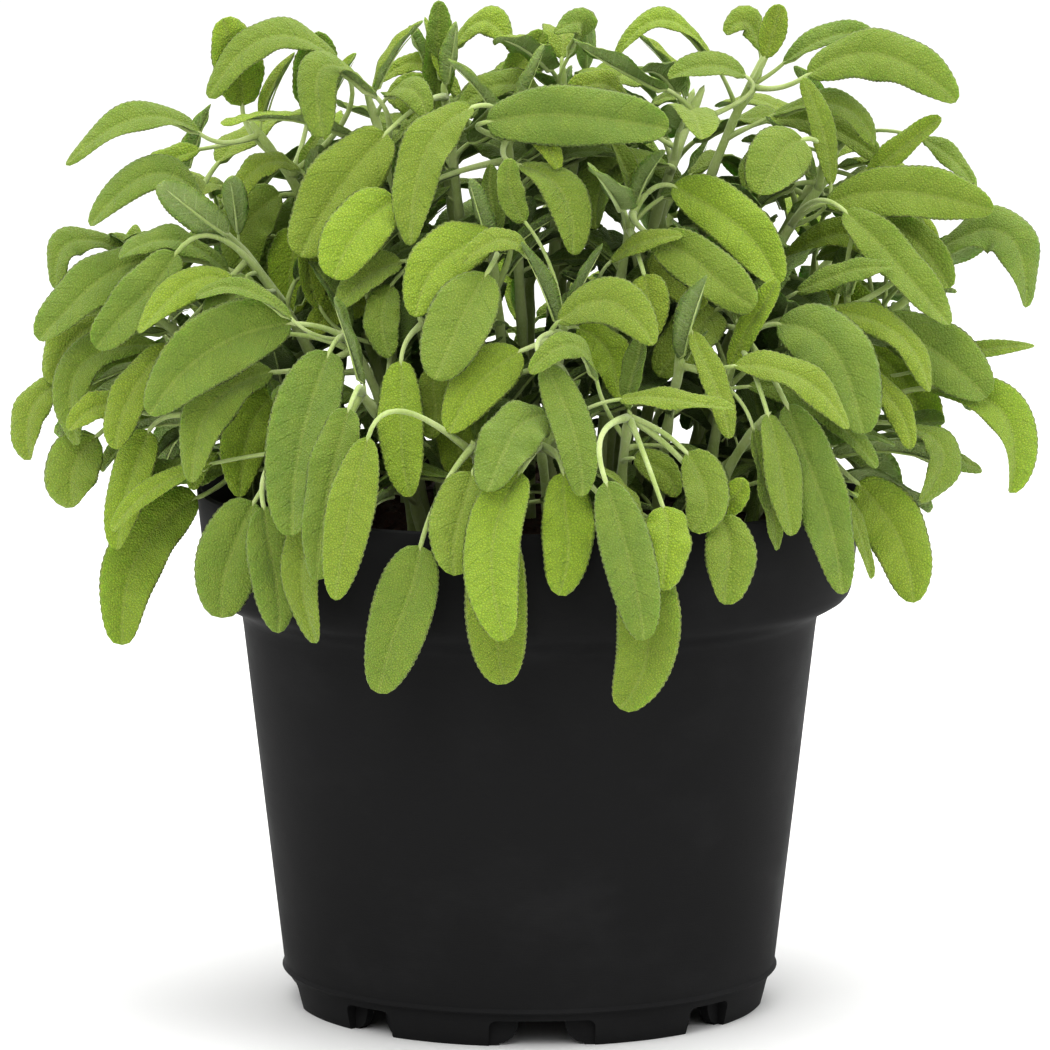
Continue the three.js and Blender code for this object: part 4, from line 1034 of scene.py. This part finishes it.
def grow_pair(stem, level):
    """Two leaves that face each other, `level` pairs below the tip."""
    place = 1 - (TOP_PAIR + NODE_SPACING * level) / stem.line.length
    if place <= 0 or stem.line.at(place)[2] < SOIL_TOP + 10:
        return
    age = min(1.0, level / 3)
    for half in range(2):
        if sum(not leaf.young for leaf in stem.leaves) >= MOST_LEAVES:
            continue
        draws = Draws(stem.owner, level, half)
        root = stem.line.at(place - PAIR_STAGGER * half / stem.line.length)
        turn = stem.turn + math.pi / 2 * (level + 2 * half)
        for i in range(TRIES):
            wander = 1 + 0.2 * i
            length = (31 + 11 * age + 4 * draws.next()) * (1 - 0.012 * i)
            heading = turn + math.radians(10) * wander * draws.next()
            lift = 42 - 34 * age + 7 * wander * draws.next()
            droop = -8 - 50 * age + 12 * wander * draws.next()
            roll = 12 * wander * draws.next()
            stalk = 8 + 6 * age + 2 * draws.next()
            width = length * (0.33 + 0.03 * draws.next())
            leaf = leaf_from(root, heading, lift, droop, roll, stalk, length, width, GROWN_STATIONS)
            if crown_share(leaf.blade.rib.end) >= SHADE and grow(stem, leaf):
                break


def in_rounds(grow_some, rounds):
    """Every stem takes its turn in each round, so that none takes all the room."""
    for number in range(rounds):
        for stem in stems:
            grow_some(stem, number)


for stem in stems:
    settle_stem(stem)
for row in SHOWN_LEAVES:
    grow_shown_leaf(*row)
for stem in stems:
    grow_tip(stem)
in_rounds(grow_pair, PAIR_ROUNDS)

# ---------------------------------------------------------------- the leaves between
# The inside of the crown fills with smaller and shaded leaves, some hang over the pot's rim, and a
# short young shoot sits in most angles of leaf and stem. None hides a leaf that faces the viewer.

BETWEEN_AIR = 1.1
BETWEEN_OWN_AIR = 1.0
BETWEEN_SOIL_AIR = 0.8
BETWEEN_REACH = 0.96
BETWEEN_ROUNDS = 3
BETWEEN_PLACES = 9
BETWEEN_TRIES = 14
GAP_ROUNDS = 8
GAP_TRIES = 40
GAP_SLIMNESS = 0.42
# Stems whose tips lie behind this depth try four times as often, to close slits from behind.
BACK_FROM = 10.0
LEAST_LIGHT = 6
SHOOT_LEVELS = 9
SHOOT_TRIES = 6
SHOOT_STALK = 3.4
FRONT_WIDTH = 320.0
FRONT_FOOT = 40.0
FRONT_CELL = 2.0
GAP_CELL = 1.25
# Half the width, height of the middle and half the height of the crown's thick part, then half
# the width, foot and top of the strip over the rim.
CROWN_OVAL = (84, 148, 48)
SOIL_STRIP = (72, 101, 120)
VOXEL = 1.0
AIR_VOXELS = 3
VOXELS = (232, 192, 190)
VOXEL_CORNER = np.array([-116.0, -96.0, 48.0])
NOBODY, SEVERAL = -1, -2


def front_cells(places, cell=FRONT_CELL):
    """The cells of the front view that places fall in."""
    x = places[:, 0] / (1 + places[:, 1] / VIEW_DISTANCE)
    z = places[:, 2] + VIEW_SLOPE * places[:, 1]
    cells = np.stack([x + FRONT_WIDTH / 2, z - FRONT_FOOT], 1) / cell
    return tuple(np.clip(cells, 1, FRONT_WIDTH / cell - 2).astype(int).T)


nearest_shown = np.full((int(FRONT_WIDTH / FRONT_CELL),) * 2, np.inf)
for stem in stems:
    for leaf in stem.leaves:
        if leaf.shown:
            places = leaf.blade.samples()
            column, row = front_cells(places)
            for i in (-1, 0, 1):
                for j in (-1, 0, 1):
                    np.minimum.at(nearest_shown, (column + i, row + j), places[:, 1])

# Who holds the air round each place: a stem's number, or that nobody or several do.
air_owner = np.full(VOXELS, NOBODY, np.int16)
close_air = np.zeros(VOXELS, bool)


def voxels(places):
    index = ((places - VOXEL_CORNER) / VOXEL).astype(int)
    return tuple(np.clip(index, AIR_VOXELS, np.array(VOXELS) - AIR_VOXELS - 1).T)


def hold_air(places, reaches, owners):
    """Gives the air round each place to its owner, out to the room that the place needs."""
    x, y, z = voxels(places)
    steps = range(-AIR_VOXELS, AIR_VOXELS + 1)
    for i in steps:
        for j in steps:
            for k in steps:
                apart = VOXEL * math.sqrt(i * i + j * j + k * k)
                held = apart <= BETWEEN_AIR + reaches
                cells = (x[held] + i, y[held] + j, z[held] + k)
                before = air_owner[cells]
                mixed = (before != NOBODY) & (before != owners[held])
                air_owner[cells] = np.where(mixed, SEVERAL, owners[held])
                held = apart <= BETWEEN_OWN_AIR + 0.5 * reaches
                close_air[x[held] + i, y[held] + j, z[held] + k] = True


rows = slice(0, crowd.count)
hold_air(crowd.places[rows], crowd.reaches[rows], crowd.owners[rows])


def has_air(places, on_blade, owner):
    """Whether no other stem holds the air, and no blade comes close to its own stem's leaves."""
    cells = voxels(places)
    holders = air_owner[cells]
    if ((holders != NOBODY) & (holders != owner)).any():
        return False
    return not (close_air[cells] & on_blade).any()


def grow_between(stem, leaf):
    """Adds a leaf that has room, and that hides none of the leaves that face the viewer."""
    for samples in (leaf.corner_samples(), leaf.samples()):
        places, reaches, on_blade = samples
        if not has_air(places, on_blade, stem.owner):
            return False
        if in_pot_or_soil(places, BETWEEN_SOIL_AIR).any():
            return False
        if (crown_share(places) > BETWEEN_REACH).any():
            return False
        if (places[:, 1] < nearest_shown[front_cells(places)]).any():
            return False
    hold_air(places, reaches, np.full(len(places), stem.owner))
    stem.leaves.append(leaf)
    return True


def fill_between(stem, round_number):
    """Shaded leaves: each stem tries places along its length, the low ones for hanging leaves."""
    draws = Draws(stem.owner, 200 + round_number)
    for k in range(BETWEEN_PLACES):
        place = 0.95 - 0.1 * k + 0.05 * draws.next()
        root = stem.line.at(place)
        for _ in range(BETWEEN_TRIES):
            heading = math.pi * draws.next()
            lift = 18 + 44 * draws.next()
            droop = lift - 44 + 34 * draws.next()
            length = (33 - 4 * round_number) * (1 + 0.16 * draws.next())
            stalk = 11 + 6 * draws.next()
            roll = 24 * draws.next()
            width = length * (0.37 + 0.04 * draws.next())
            leaf = leaf_from(root, heading, lift, droop, roll, stalk, length, width, GROWN_STATIONS)
            if grow_between(stem, leaf):
                break


# The cells of the front view that light still shines through, in the crown's thick part and in
# the strip above the rim where the soil would show.
column, row = np.indices((int(FRONT_WIDTH / GAP_CELL),) * 2)
sideways, high = column * GAP_CELL - FRONT_WIDTH / 2, row * GAP_CELL + FRONT_FOOT
bare = np.hypot(sideways / CROWN_OVAL[0], (high - CROWN_OVAL[1]) / CROWN_OVAL[2]) < 1
bare |= (np.abs(sideways) < SOIL_STRIP[0]) & (high > SOIL_STRIP[1]) & (high < SOIL_STRIP[2])


def cells_behind(leaf):
    """The fine cells of the front view that a blade covers."""
    u, v = np.linspace(0.03, 0.97, 26), np.linspace(-0.9, 0.9, 9)
    rib = leaf.blade.rib
    half = leaf.blade.width / 2 * np.sin(math.pi * u**0.9) ** 0.44
    side = square_to(leaf.blade.side, rib.heading(u))
    places = rib.at(u)[:, None] + side[:, None] * (half[:, None] * v)[..., None]
    return front_cells(places.reshape(-1, 3), GAP_CELL)


def close_gap(stem, round_number):
    """Where light shines through the crown a leaf grows: of many, the one that catches most."""
    draws = Draws(stem.owner, 400 + round_number)
    tried = []
    for _ in range(GAP_TRIES if stem.line.end[1] < BACK_FROM else 4 * GAP_TRIES):
        root = stem.line.at(0.5 + 0.48 * draws.next())
        length = 30 - 2.2 * round_number + 4 * draws.next()
        lift = 16 + 56 * draws.next()
        droop = lift - 36 + 38 * draws.next()
        heading, roll = math.pi * draws.next(), 40 * draws.next()
        stalk = 12.5 + 9 * draws.next()
        width = GAP_SLIMNESS * length
        leaf = leaf_from(root, heading, lift, droop, roll, stalk, length, width, GROWN_STATIONS)
        caught = bare[cells_behind(leaf)].sum()
        if caught >= LEAST_LIGHT:
            tried.append((caught, leaf))
    for _, leaf in sorted(tried, key=lambda trial: -trial[0]):
        if grow_between(stem, leaf):
            bare[cells_behind(leaf)] = False
            return


def grow_axil_shoot(stem, level):
    """A short pair of young leaves above each pair of grown ones."""
    place = 1 - (4.5 + NODE_SPACING * 0.5 * level) / stem.line.length
    if place <= 0.05:
        return
    root = stem.line.at(place)
    turn = stem.turn + math.pi / 4 * level
    draws = Draws(stem.owner, 300 + level)
    for half in range(2):
        for _ in range(SHOOT_TRIES):
            heading = turn + math.pi * half + 0.5 * draws.next()
            lift = 48 + 20 * draws.next()
            droop = lift - 20 + 22 * draws.next()
            length = 14 + 5 * draws.next()
            roll = 20 * draws.next()
            pose = (heading, lift, droop, roll, SHOOT_STALK)
            leaf = leaf_from(root, *pose, length, length * YOUNG_SLIMNESS, YOUNG_STATIONS)
            if grow_between(stem, leaf):
                break


in_rounds(fill_between, BETWEEN_ROUNDS)
for stem in stems:
    for leaf in stem.leaves:
        bare[cells_behind(leaf)] = False
in_rounds(close_gap, GAP_ROUNDS)
in_rounds(grow_axil_shoot, SHOOT_LEVELS)

# ---------------------------------------------------------------- blades, stalks and stems
# The blade is a thin oblong, pebbled like seersucker, with a scalloped edge and a midrib that is
# sunk above and stands out below. The stalk runs on under it as that midrib.

BLADE_ACROSS = np.array([-1.0, -0.88, -0.62, -0.34, -0.11, 0.0, 0.11, 0.34, 0.62, 0.88, 1.0])
UNDER_ACROSS = np.array([0.62, 0.2, 0.0, -0.2, -0.62])
TOOTH_PITCH = 1.3
TOOTH_DEPTH = 0.17
VEIN_PITCH = 3.8
SWELL_HEIGHT = 0.15
RIB_GROOVE = 0.22
THICKEST = 0.46
END_TURN = 0.45
END_ROLL = 0.4
STALK_HALF = 0.6
STALK_ROWS = 13
STALK_SIDES = 8
RIB_SINK = 0.55
RIB_PLACES = np.array([0.06, 0.16, 0.3, 0.46, 0.64, 0.82])
RIB_RADII = np.array([0.52, 0.47, 0.4, 0.33, 0.26, 0.18])


class Growth:
    """Points, faces and per-point values of one leafy stem, gathered before its mesh is made."""

    def __init__(self):
        self.points, self.quads, self.triangles = [], [], []
        # inner carries each leaf's painted shade, by its depth in the crown.
        self.values = {"across": [], "along": [], "under": [], "tone": [], "age": [], "inner": []}
        self.quad_finish, self.triangle_finish = [], []
        self.count = 0

    def add_points(self, points, **values):
        self.points.append(points)
        for key, store in self.values.items():
            store.append(np.broadcast_to(values.get(key, 0.0), len(points)))
        self.count += len(points)

    def add_tube(self, rings, end, finish, **values):
        """Rings of equally many points, closed at the start and drawn to a point at the end."""
        rows, sides = rings.shape[:2]
        first = self.count
        self.add_points(np.vstack([rings.reshape(-1, 3), end[None]]), **values)
        index = first + np.arange(rows * sides).reshape(rows, sides)
        following = np.roll(index, -1, 1)
        quads = np.stack([index[:-1], following[:-1], following[1:], index[1:]], -1).reshape(-1, 4)
        tip = np.full(sides, first + rows * sides)
        fan = np.stack([index[-1], following[-1], tip], -1)
        middle = np.full(sides - 2, index[0, 0])
        cap = np.stack([middle, index[0, 2:], index[0, 1:-1]], -1)
        self.quads.append(quads)
        self.quad_finish.append(np.full(len(quads), finish))
        self.triangles.append(np.vstack([fan, cap]))
        self.triangle_finish.append(np.full(len(fan) + len(cap), finish))

    def piece(self, name):
        points = np.vstack(self.points) * MM
        quads, triangles = np.vstack(self.quads), np.vstack(self.triangles)
        corners = np.concatenate([quads.ravel(), triangles.ravel()])
        sizes = np.concatenate([np.full(len(quads), 4), np.full(len(triangles), 3)])
        mesh = bpy.data.meshes.new(name)
        mesh.vertices.add(len(points))
        mesh.vertices.foreach_set("co", points.ravel().astype(np.float32))
        mesh.loops.add(len(corners))
        mesh.loops.foreach_set("vertex_index", corners.astype(np.int32))
        mesh.polygons.add(len(sizes))
        mesh.polygons.foreach_set("loop_start", (np.cumsum(sizes) - sizes).astype(np.int32))
        mesh.update(calc_edges=True)
        finishes = np.concatenate(self.quad_finish + self.triangle_finish)
        mesh.polygons.foreach_set("material_index", finishes.astype(np.int32))
        mesh.polygons.foreach_set("use_smooth", np.ones(len(sizes), bool))
        for key, store in self.values.items():
            layer = mesh.attributes.new(key, "FLOAT", "POINT")
            layer.data.foreach_set("value", np.concatenate(store).astype(np.float32))
        mesh.validate()
        piece = bpy.data.objects.new(name, mesh)
        bpy.context.scene.collection.objects.link(piece)
        return piece


# The places of the two finishes on a piece, and the depth in the crown at which painted shade
# starts to darken a leaf and the span over which it deepens.
BLADE, WOOL = 0, 1
BLADE_DRAWS = 500
PAINTED_SHADE_FROM = 0.86
PAINTED_SHADE_SPAN = 0.3


def add_blade(growth, leaf, draws, tone, inner):
    """A thin closed blade: its upper side, its edges and its underside go round in each ring."""
    line, young = leaf.blade.rib, leaf.young
    length = line.length
    teeth = max(6, round(length / TOOTH_PITCH))
    u = (np.arange(2 * teeth) + 0.02) / (2 * teeth - 0.4)
    blunt = 0.6 if young else 0.43 + 0.07 * draws.next()
    outline = np.clip(np.sin(math.pi * u**0.9), 0.0, None) ** blunt
    half = leaf.blade.width / 2 * outline
    bite = TOOTH_DEPTH * np.where(np.arange(len(u)) % 2, 0.5, -0.5) * np.clip(half / 3, 0.0, 1.0)
    half = np.maximum(half + (0.3 if young else 1.0) * bite, STALK_HALF * (1 - 0.7 * u))
    centre, heading = line.at(u), line.heading(u)
    across = square_to(leaf.blade.side, heading)
    up = square_both(across, heading)
    twist = (0.2 if leaf.shown else 0.4) * draws.next() * (u - 0.3)
    cosine, sine = np.cos(twist)[:, None], np.sin(twist)[:, None]
    across, up = across * cosine + up * sine, up * cosine - across * sine
    rise = (0.5 if young else 0.36) + 0.08 * draws.next()
    curl = (0.1 if young else 0.24) + 0.1 * draws.next()
    wave, waves, phase = 0.13 + 0.06 * draws.next(), 2.0 + draws.next(), math.pi * draws.next()
    skew = 0.6 * draws.next() * np.sin(2 * math.pi * u)
    # The end of the blade turns over to one side, and its edges roll up or down there.
    near_end = np.clip((u - 0.5) / 0.5, 0.0, 1.0)[:, None] ** 2
    turned, rolled = END_TURN * draws.next() * near_end, END_ROLL * draws.next() * near_end

    def height(v):
        fold = rise * np.abs(v) ** 0.85 - curl * np.abs(v) ** 3
        ripple_there = wave * v * v * np.sin(2 * math.pi * waves * u[:, None] + phase + np.sign(v))
        quilting = SWELL_HEIGHT * np.sin(math.pi * np.abs(v)) * np.cos(
            2 * math.pi * (u[:, None] * length - 0.7 * np.abs(v) * half[:, None]) / VEIN_PITCH
        )
        sunk = RIB_GROOVE * np.exp(-((v / 0.07) ** 2)) * np.clip(half[:, None] / 4, 0.0, 1.0)
        end_form = turned * v + rolled * v * v
        return half[:, None] * (fold + ripple_there + end_form) + quilting - sunk

    top, under = BLADE_ACROSS[None], UNDER_ACROSS[None]
    thickness = np.minimum(THICKEST, 0.55 * half)[:, None] * (1 - 0.35 * np.abs(under))
    rib = 0.3 * np.exp(-((under / 0.1) ** 2)) * (1 - u[:, None])
    heights = np.hstack([height(top), height(under) - thickness - rib])
    share = np.hstack([top, under])
    sideways = share * half[:, None] + skew[:, None] * (1 - np.abs(share))
    offset = across[:, None] * sideways[..., None]
    rings = centre[:, None] + offset + up[:, None] * heights[..., None]
    sides = share.shape[1]
    under_share = np.array([0.3] + [0.0] * 9 + [0.3] + [1.0] * 5)
    growth.add_tube(
        rings,
        line.end + up[-1] * heights[-1, 5],
        BLADE,
        across=np.append((share * half[:, None]).ravel(), 0.0),
        along=np.append(np.repeat(u * length, sides), length),
        under=np.append(np.tile(under_share, len(u)), 0.0),
        tone=tone,
        age=0.0 if young else min(1.0, length / 44),
        # inner: how much painted shade darkens this leaf.
        inner=inner,
    )


def round_rings(centres, headings, side, radii, sides, squareness=0.0):
    """Rings for a tube along a bent line."""
    across = square_to(side, headings)
    beside = square_both(headings, across)
    turn = np.arange(sides) * 2 * math.pi / sides
    reach = radii[:, None] * (1 + squareness * np.cos(4 * turn)[None])
    return (
        centres[:, None]
        + across[:, None] * (reach * np.cos(turn))[..., None]
        + beside[:, None] * (reach * np.sin(turn))[..., None]
    )


def add_stalk(growth, leaf, tone):
    """The stalk, which runs on under the blade as its midrib."""
    blade, rib = leaf.blade, leaf.blade.rib
    slim = min(1.0, 0.45 + blade.width / 20) * (0.7 if leaf.young else 1.0)
    t = np.linspace(0.0, 1.0, STALK_ROWS)
    ribs = rib.heading(RIB_PLACES)
    up = square_both(square_to(blade.side, ribs), ribs)
    sunk = (RIB_RADII + RIB_SINK)[:, None]
    centres = np.vstack([leaf.stalk.at(t), rib.at(RIB_PLACES) - up * sunk])
    headings = np.vstack([leaf.stalk.heading(t), ribs])
    radii = slim * np.concatenate([0.64 - 0.14 * t + 0.35 * (1 - t) ** 6, RIB_RADII])
    end = rib.at(0.93) - up[-1] * 0.6
    rings = round_rings(centres, headings, blade.side, radii, STALK_SIDES)
    growth.add_tube(rings, end, WOOL, tone=tone, age=0.5)


def add_stem(growth, stem, tone):
    """The stem, from under the soil to its tip, a little thicker where leaves grow from it."""
    line = stem.line
    t = np.linspace(0.0, 1.0, STEM_ROWS)
    foot = line.at(0.0) - np.array([0.0, 0.0, ROOT_DEPTH])
    centres = np.vstack([foot, line.at(t)])
    headings = np.vstack([(0.0, 0.0, 1.0), line.heading(t)])
    headings[1] = (0.0, 0.0, 1.0)
    radii = STEM_THINNESS * (ROOT_RADIUS + (TIP_RADIUS - ROOT_RADIUS) * t)
    for level in range(STEM_NODES):
        node = 1 - (TOP_PAIR + NODE_SPACING * level) / line.length
        radii = radii * (1 + NODE_SWELLING * np.exp(-(((t - node) * line.length / 2.2) ** 2)))
    radii[-1] *= 0.7
    radii = np.concatenate([[radii[0]], radii])
    side = np.array([math.cos(stem.turn), math.sin(stem.turn), 0.0])
    rings = round_rings(centres, headings, side, radii, STEM_CORNERS, squareness=0.07)
    growth.add_tube(rings, line.at(1.0) + line.heading(1.0) * 1.2, WOOL, tone=tone, age=1.0)


# The greens of the upper side, from a young leaf's to the net of its small veins.
YOUNG_GREEN = (0.330, 0.408, 0.040, 1.0)
GROWN_GREEN = (0.222, 0.298, 0.032, 1.0)
DULL_GREEN = (0.120, 0.200, 0.046, 1.0)
CLOUD_GREEN = (0.282, 0.352, 0.060, 1.0)
VIVID_GREEN = (0.310, 0.450, 0.036, 1.0)
# The painted shade colour for leaves deep inside the crown.
PAINTED_SHADE_GREEN = (0.050, 0.088, 0.018, 1.0)
NET_GREEN = (0.105, 0.170, 0.026, 1.0)
VEIN_GREEN = (0.125, 0.195, 0.032, 1.0)
MIDRIB_GREEN = (0.350, 0.430, 0.115, 1.0)
# The same for the underside, which is paler.
UNDER_GREEN = (0.300, 0.380, 0.135, 1.0)
UNDER_NET = (0.220, 0.300, 0.090, 1.0)
UNDER_VEIN = (0.430, 0.520, 0.250, 1.0)
# The painted shade colour of the underside.
UNDER_PAINTED_SHADE = (0.085, 0.130, 0.040, 1.0)
# Stems and stalks under their wool.
WOOL_GREEN = (0.330, 0.420, 0.130, 1.0)
WOOL_PALE = (0.450, 0.535, 0.225, 1.0)
WOOL_HAIR = (0.58, 0.65, 0.39, 1.0)

sage = Finish("sage_blade")
across, along, under, tone, age, inner = [
    sage.node("ShaderNodeAttribute", {}, attribute_name=name).outputs["Fac"]
    for name in ("across", "along", "under", "tone", "age", "inner")
]
aside = sage.sum("ABSOLUTE", across)
# Side veins leave the midrib at an even pitch and bend towards the tip.
vein_place = sage.sum("MULTIPLY_ADD", aside, -0.72, along)
vein_place = sage.sum("MULTIPLY_ADD", sage.sum("MULTIPLY", aside, aside), -0.03, vein_place)
vein_phase = sage.sum("FRACT", sage.sum("DIVIDE", vein_place, VEIN_PITCH))
vein_apart = sage.sum("ABSOLUTE", sage.sum("SUBTRACT", vein_phase, 0.5))
veins = sage.step(vein_apart, 0.40, 0.5)
midrib = sage.step(aside, 0.12, 0.5, 1.0, 0.0)
# The net of small veins, with the blade swelling up between them.
spot = sage.node("ShaderNodeCombineXYZ", {"X": across, "Y": along, "Z": tone}).outputs[0]
cell_inputs = {"Vector": spot, "Scale": 2.0}
edges = sage.node("ShaderNodeTexVoronoi", cell_inputs, feature="DISTANCE_TO_EDGE")
net = sage.step(edges.outputs["Distance"], 0.0, 0.22, 1.0, 0.0)
domes = sage.node("ShaderNodeTexVoronoi", cell_inputs, feature="SMOOTH_F1").outputs["Distance"]
cloud = sage.noise(spot, 0.16, detail=3.0)
# Every leaf has its own tone: some are vivid, most are duller, and all are clouded.
lush = sage.blend(age, YOUNG_GREEN, GROWN_GREEN)
lush = sage.blend(sage.step(tone, 0.0, 1.0), lush, sage.blend(0.6, lush, DULL_GREEN))
lush = sage.blend(sage.step(cloud, 0.35, 0.7, 0.0, 0.4), lush, CLOUD_GREEN)
lush = sage.blend(sage.step(tone, 0.0, 0.3, 0.6, 0.0), lush, VIVID_GREEN)
# Painted shade: leaves that stand deep inside the crown are darkened, the deeper the darker.
lush = sage.cover(lush, inner, 0.8, PAINTED_SHADE_GREEN)
topside = sage.cover(lush, net, 0.5, NET_GREEN)
topside = sage.cover(topside, veins, 0.16, VEIN_GREEN)
topside = sage.cover(topside, midrib, 0.3, MIDRIB_GREEN)
below = sage.cover(UNDER_GREEN, net, 0.35, UNDER_NET)
below = sage.cover(below, veins, 0.5, UNDER_VEIN)
# Painted shade on the underside as well, by depth in the crown.
below = sage.cover(below, inner, 0.7, UNDER_PAINTED_SHADE)
sage.set(
    base_color=sage.blend(under, topside, below),
    roughness=sage.step(cloud, 0.3, 0.7, 0.62, 0.74),
    specular_ior_level=0.22,
    subsurface_weight=0.22,
    subsurface_radius=(0.5, 1.0, 0.15),
    subsurface_scale=0.0012,
    sheen_weight=0.16,
    sheen_roughness=0.5,
    sheen_tint=(0.88, 1.0, 0.72, 1.0),
)
swell = sage.sum("MULTIPLY_ADD", domes, -0.8, sage.sum("MULTIPLY", net, -0.25))
sage.bump(sage.sum("MULTIPLY_ADD", veins, -0.3, swell), 0.38, 1.0)

woolly = Finish("woolly_stem")
wool = woolly.noise(woolly.place((1.0, 1.0, 0.5)), 2.6, detail=4.0, roughness=0.7)
patches = woolly.noise(woolly.place(), 0.12, detail=2.0)
pale = woolly.blend(woolly.step(patches, 0.35, 0.65), WOOL_GREEN, WOOL_PALE)
woolly.set(
    base_color=woolly.blend(woolly.step(wool, 0.45, 0.75, 0.0, 0.45), pale, WOOL_HAIR),
    roughness=0.85,
    specular_ior_level=0.2,
    subsurface_weight=0.15,
    subsurface_radius=(0.6, 1.0, 0.25),
    subsurface_scale=0.0010,
    sheen_weight=0.45,
    sheen_roughness=0.45,
    sheen_tint=(0.95, 1.0, 0.85, 1.0),
)
woolly.bump(wool, 0.12, 0.8)

for stem in stems:
    growth = Growth()
    draws = Draws(stem.owner, BLADE_DRAWS)
    add_stem(growth, stem, 0.5)
    for leaf in stem.leaves:
        tone = 0.5 + 0.5 * draws.next()
        share = crown_share(leaf.blade.samples()).mean()
        # How much painted shade darkens the leaf: none on the leaves that face the viewer, more the
        # deeper a leaf stands in the crown.
        inner = 0.0 if leaf.shown else min(1.0, max(0.0, (PAINTED_SHADE_FROM - share) / PAINTED_SHADE_SPAN))
        add_blade(growth, leaf, draws, tone, inner)
        add_stalk(growth, leaf, tone)
    piece = growth.piece(f"sage_stem_{stem.owner + 1:02d}")
    finishes = [sage.material, woolly.material]
    dress(piece, finishes, f"leafy_stem_{stem.owner + 1:02d}")
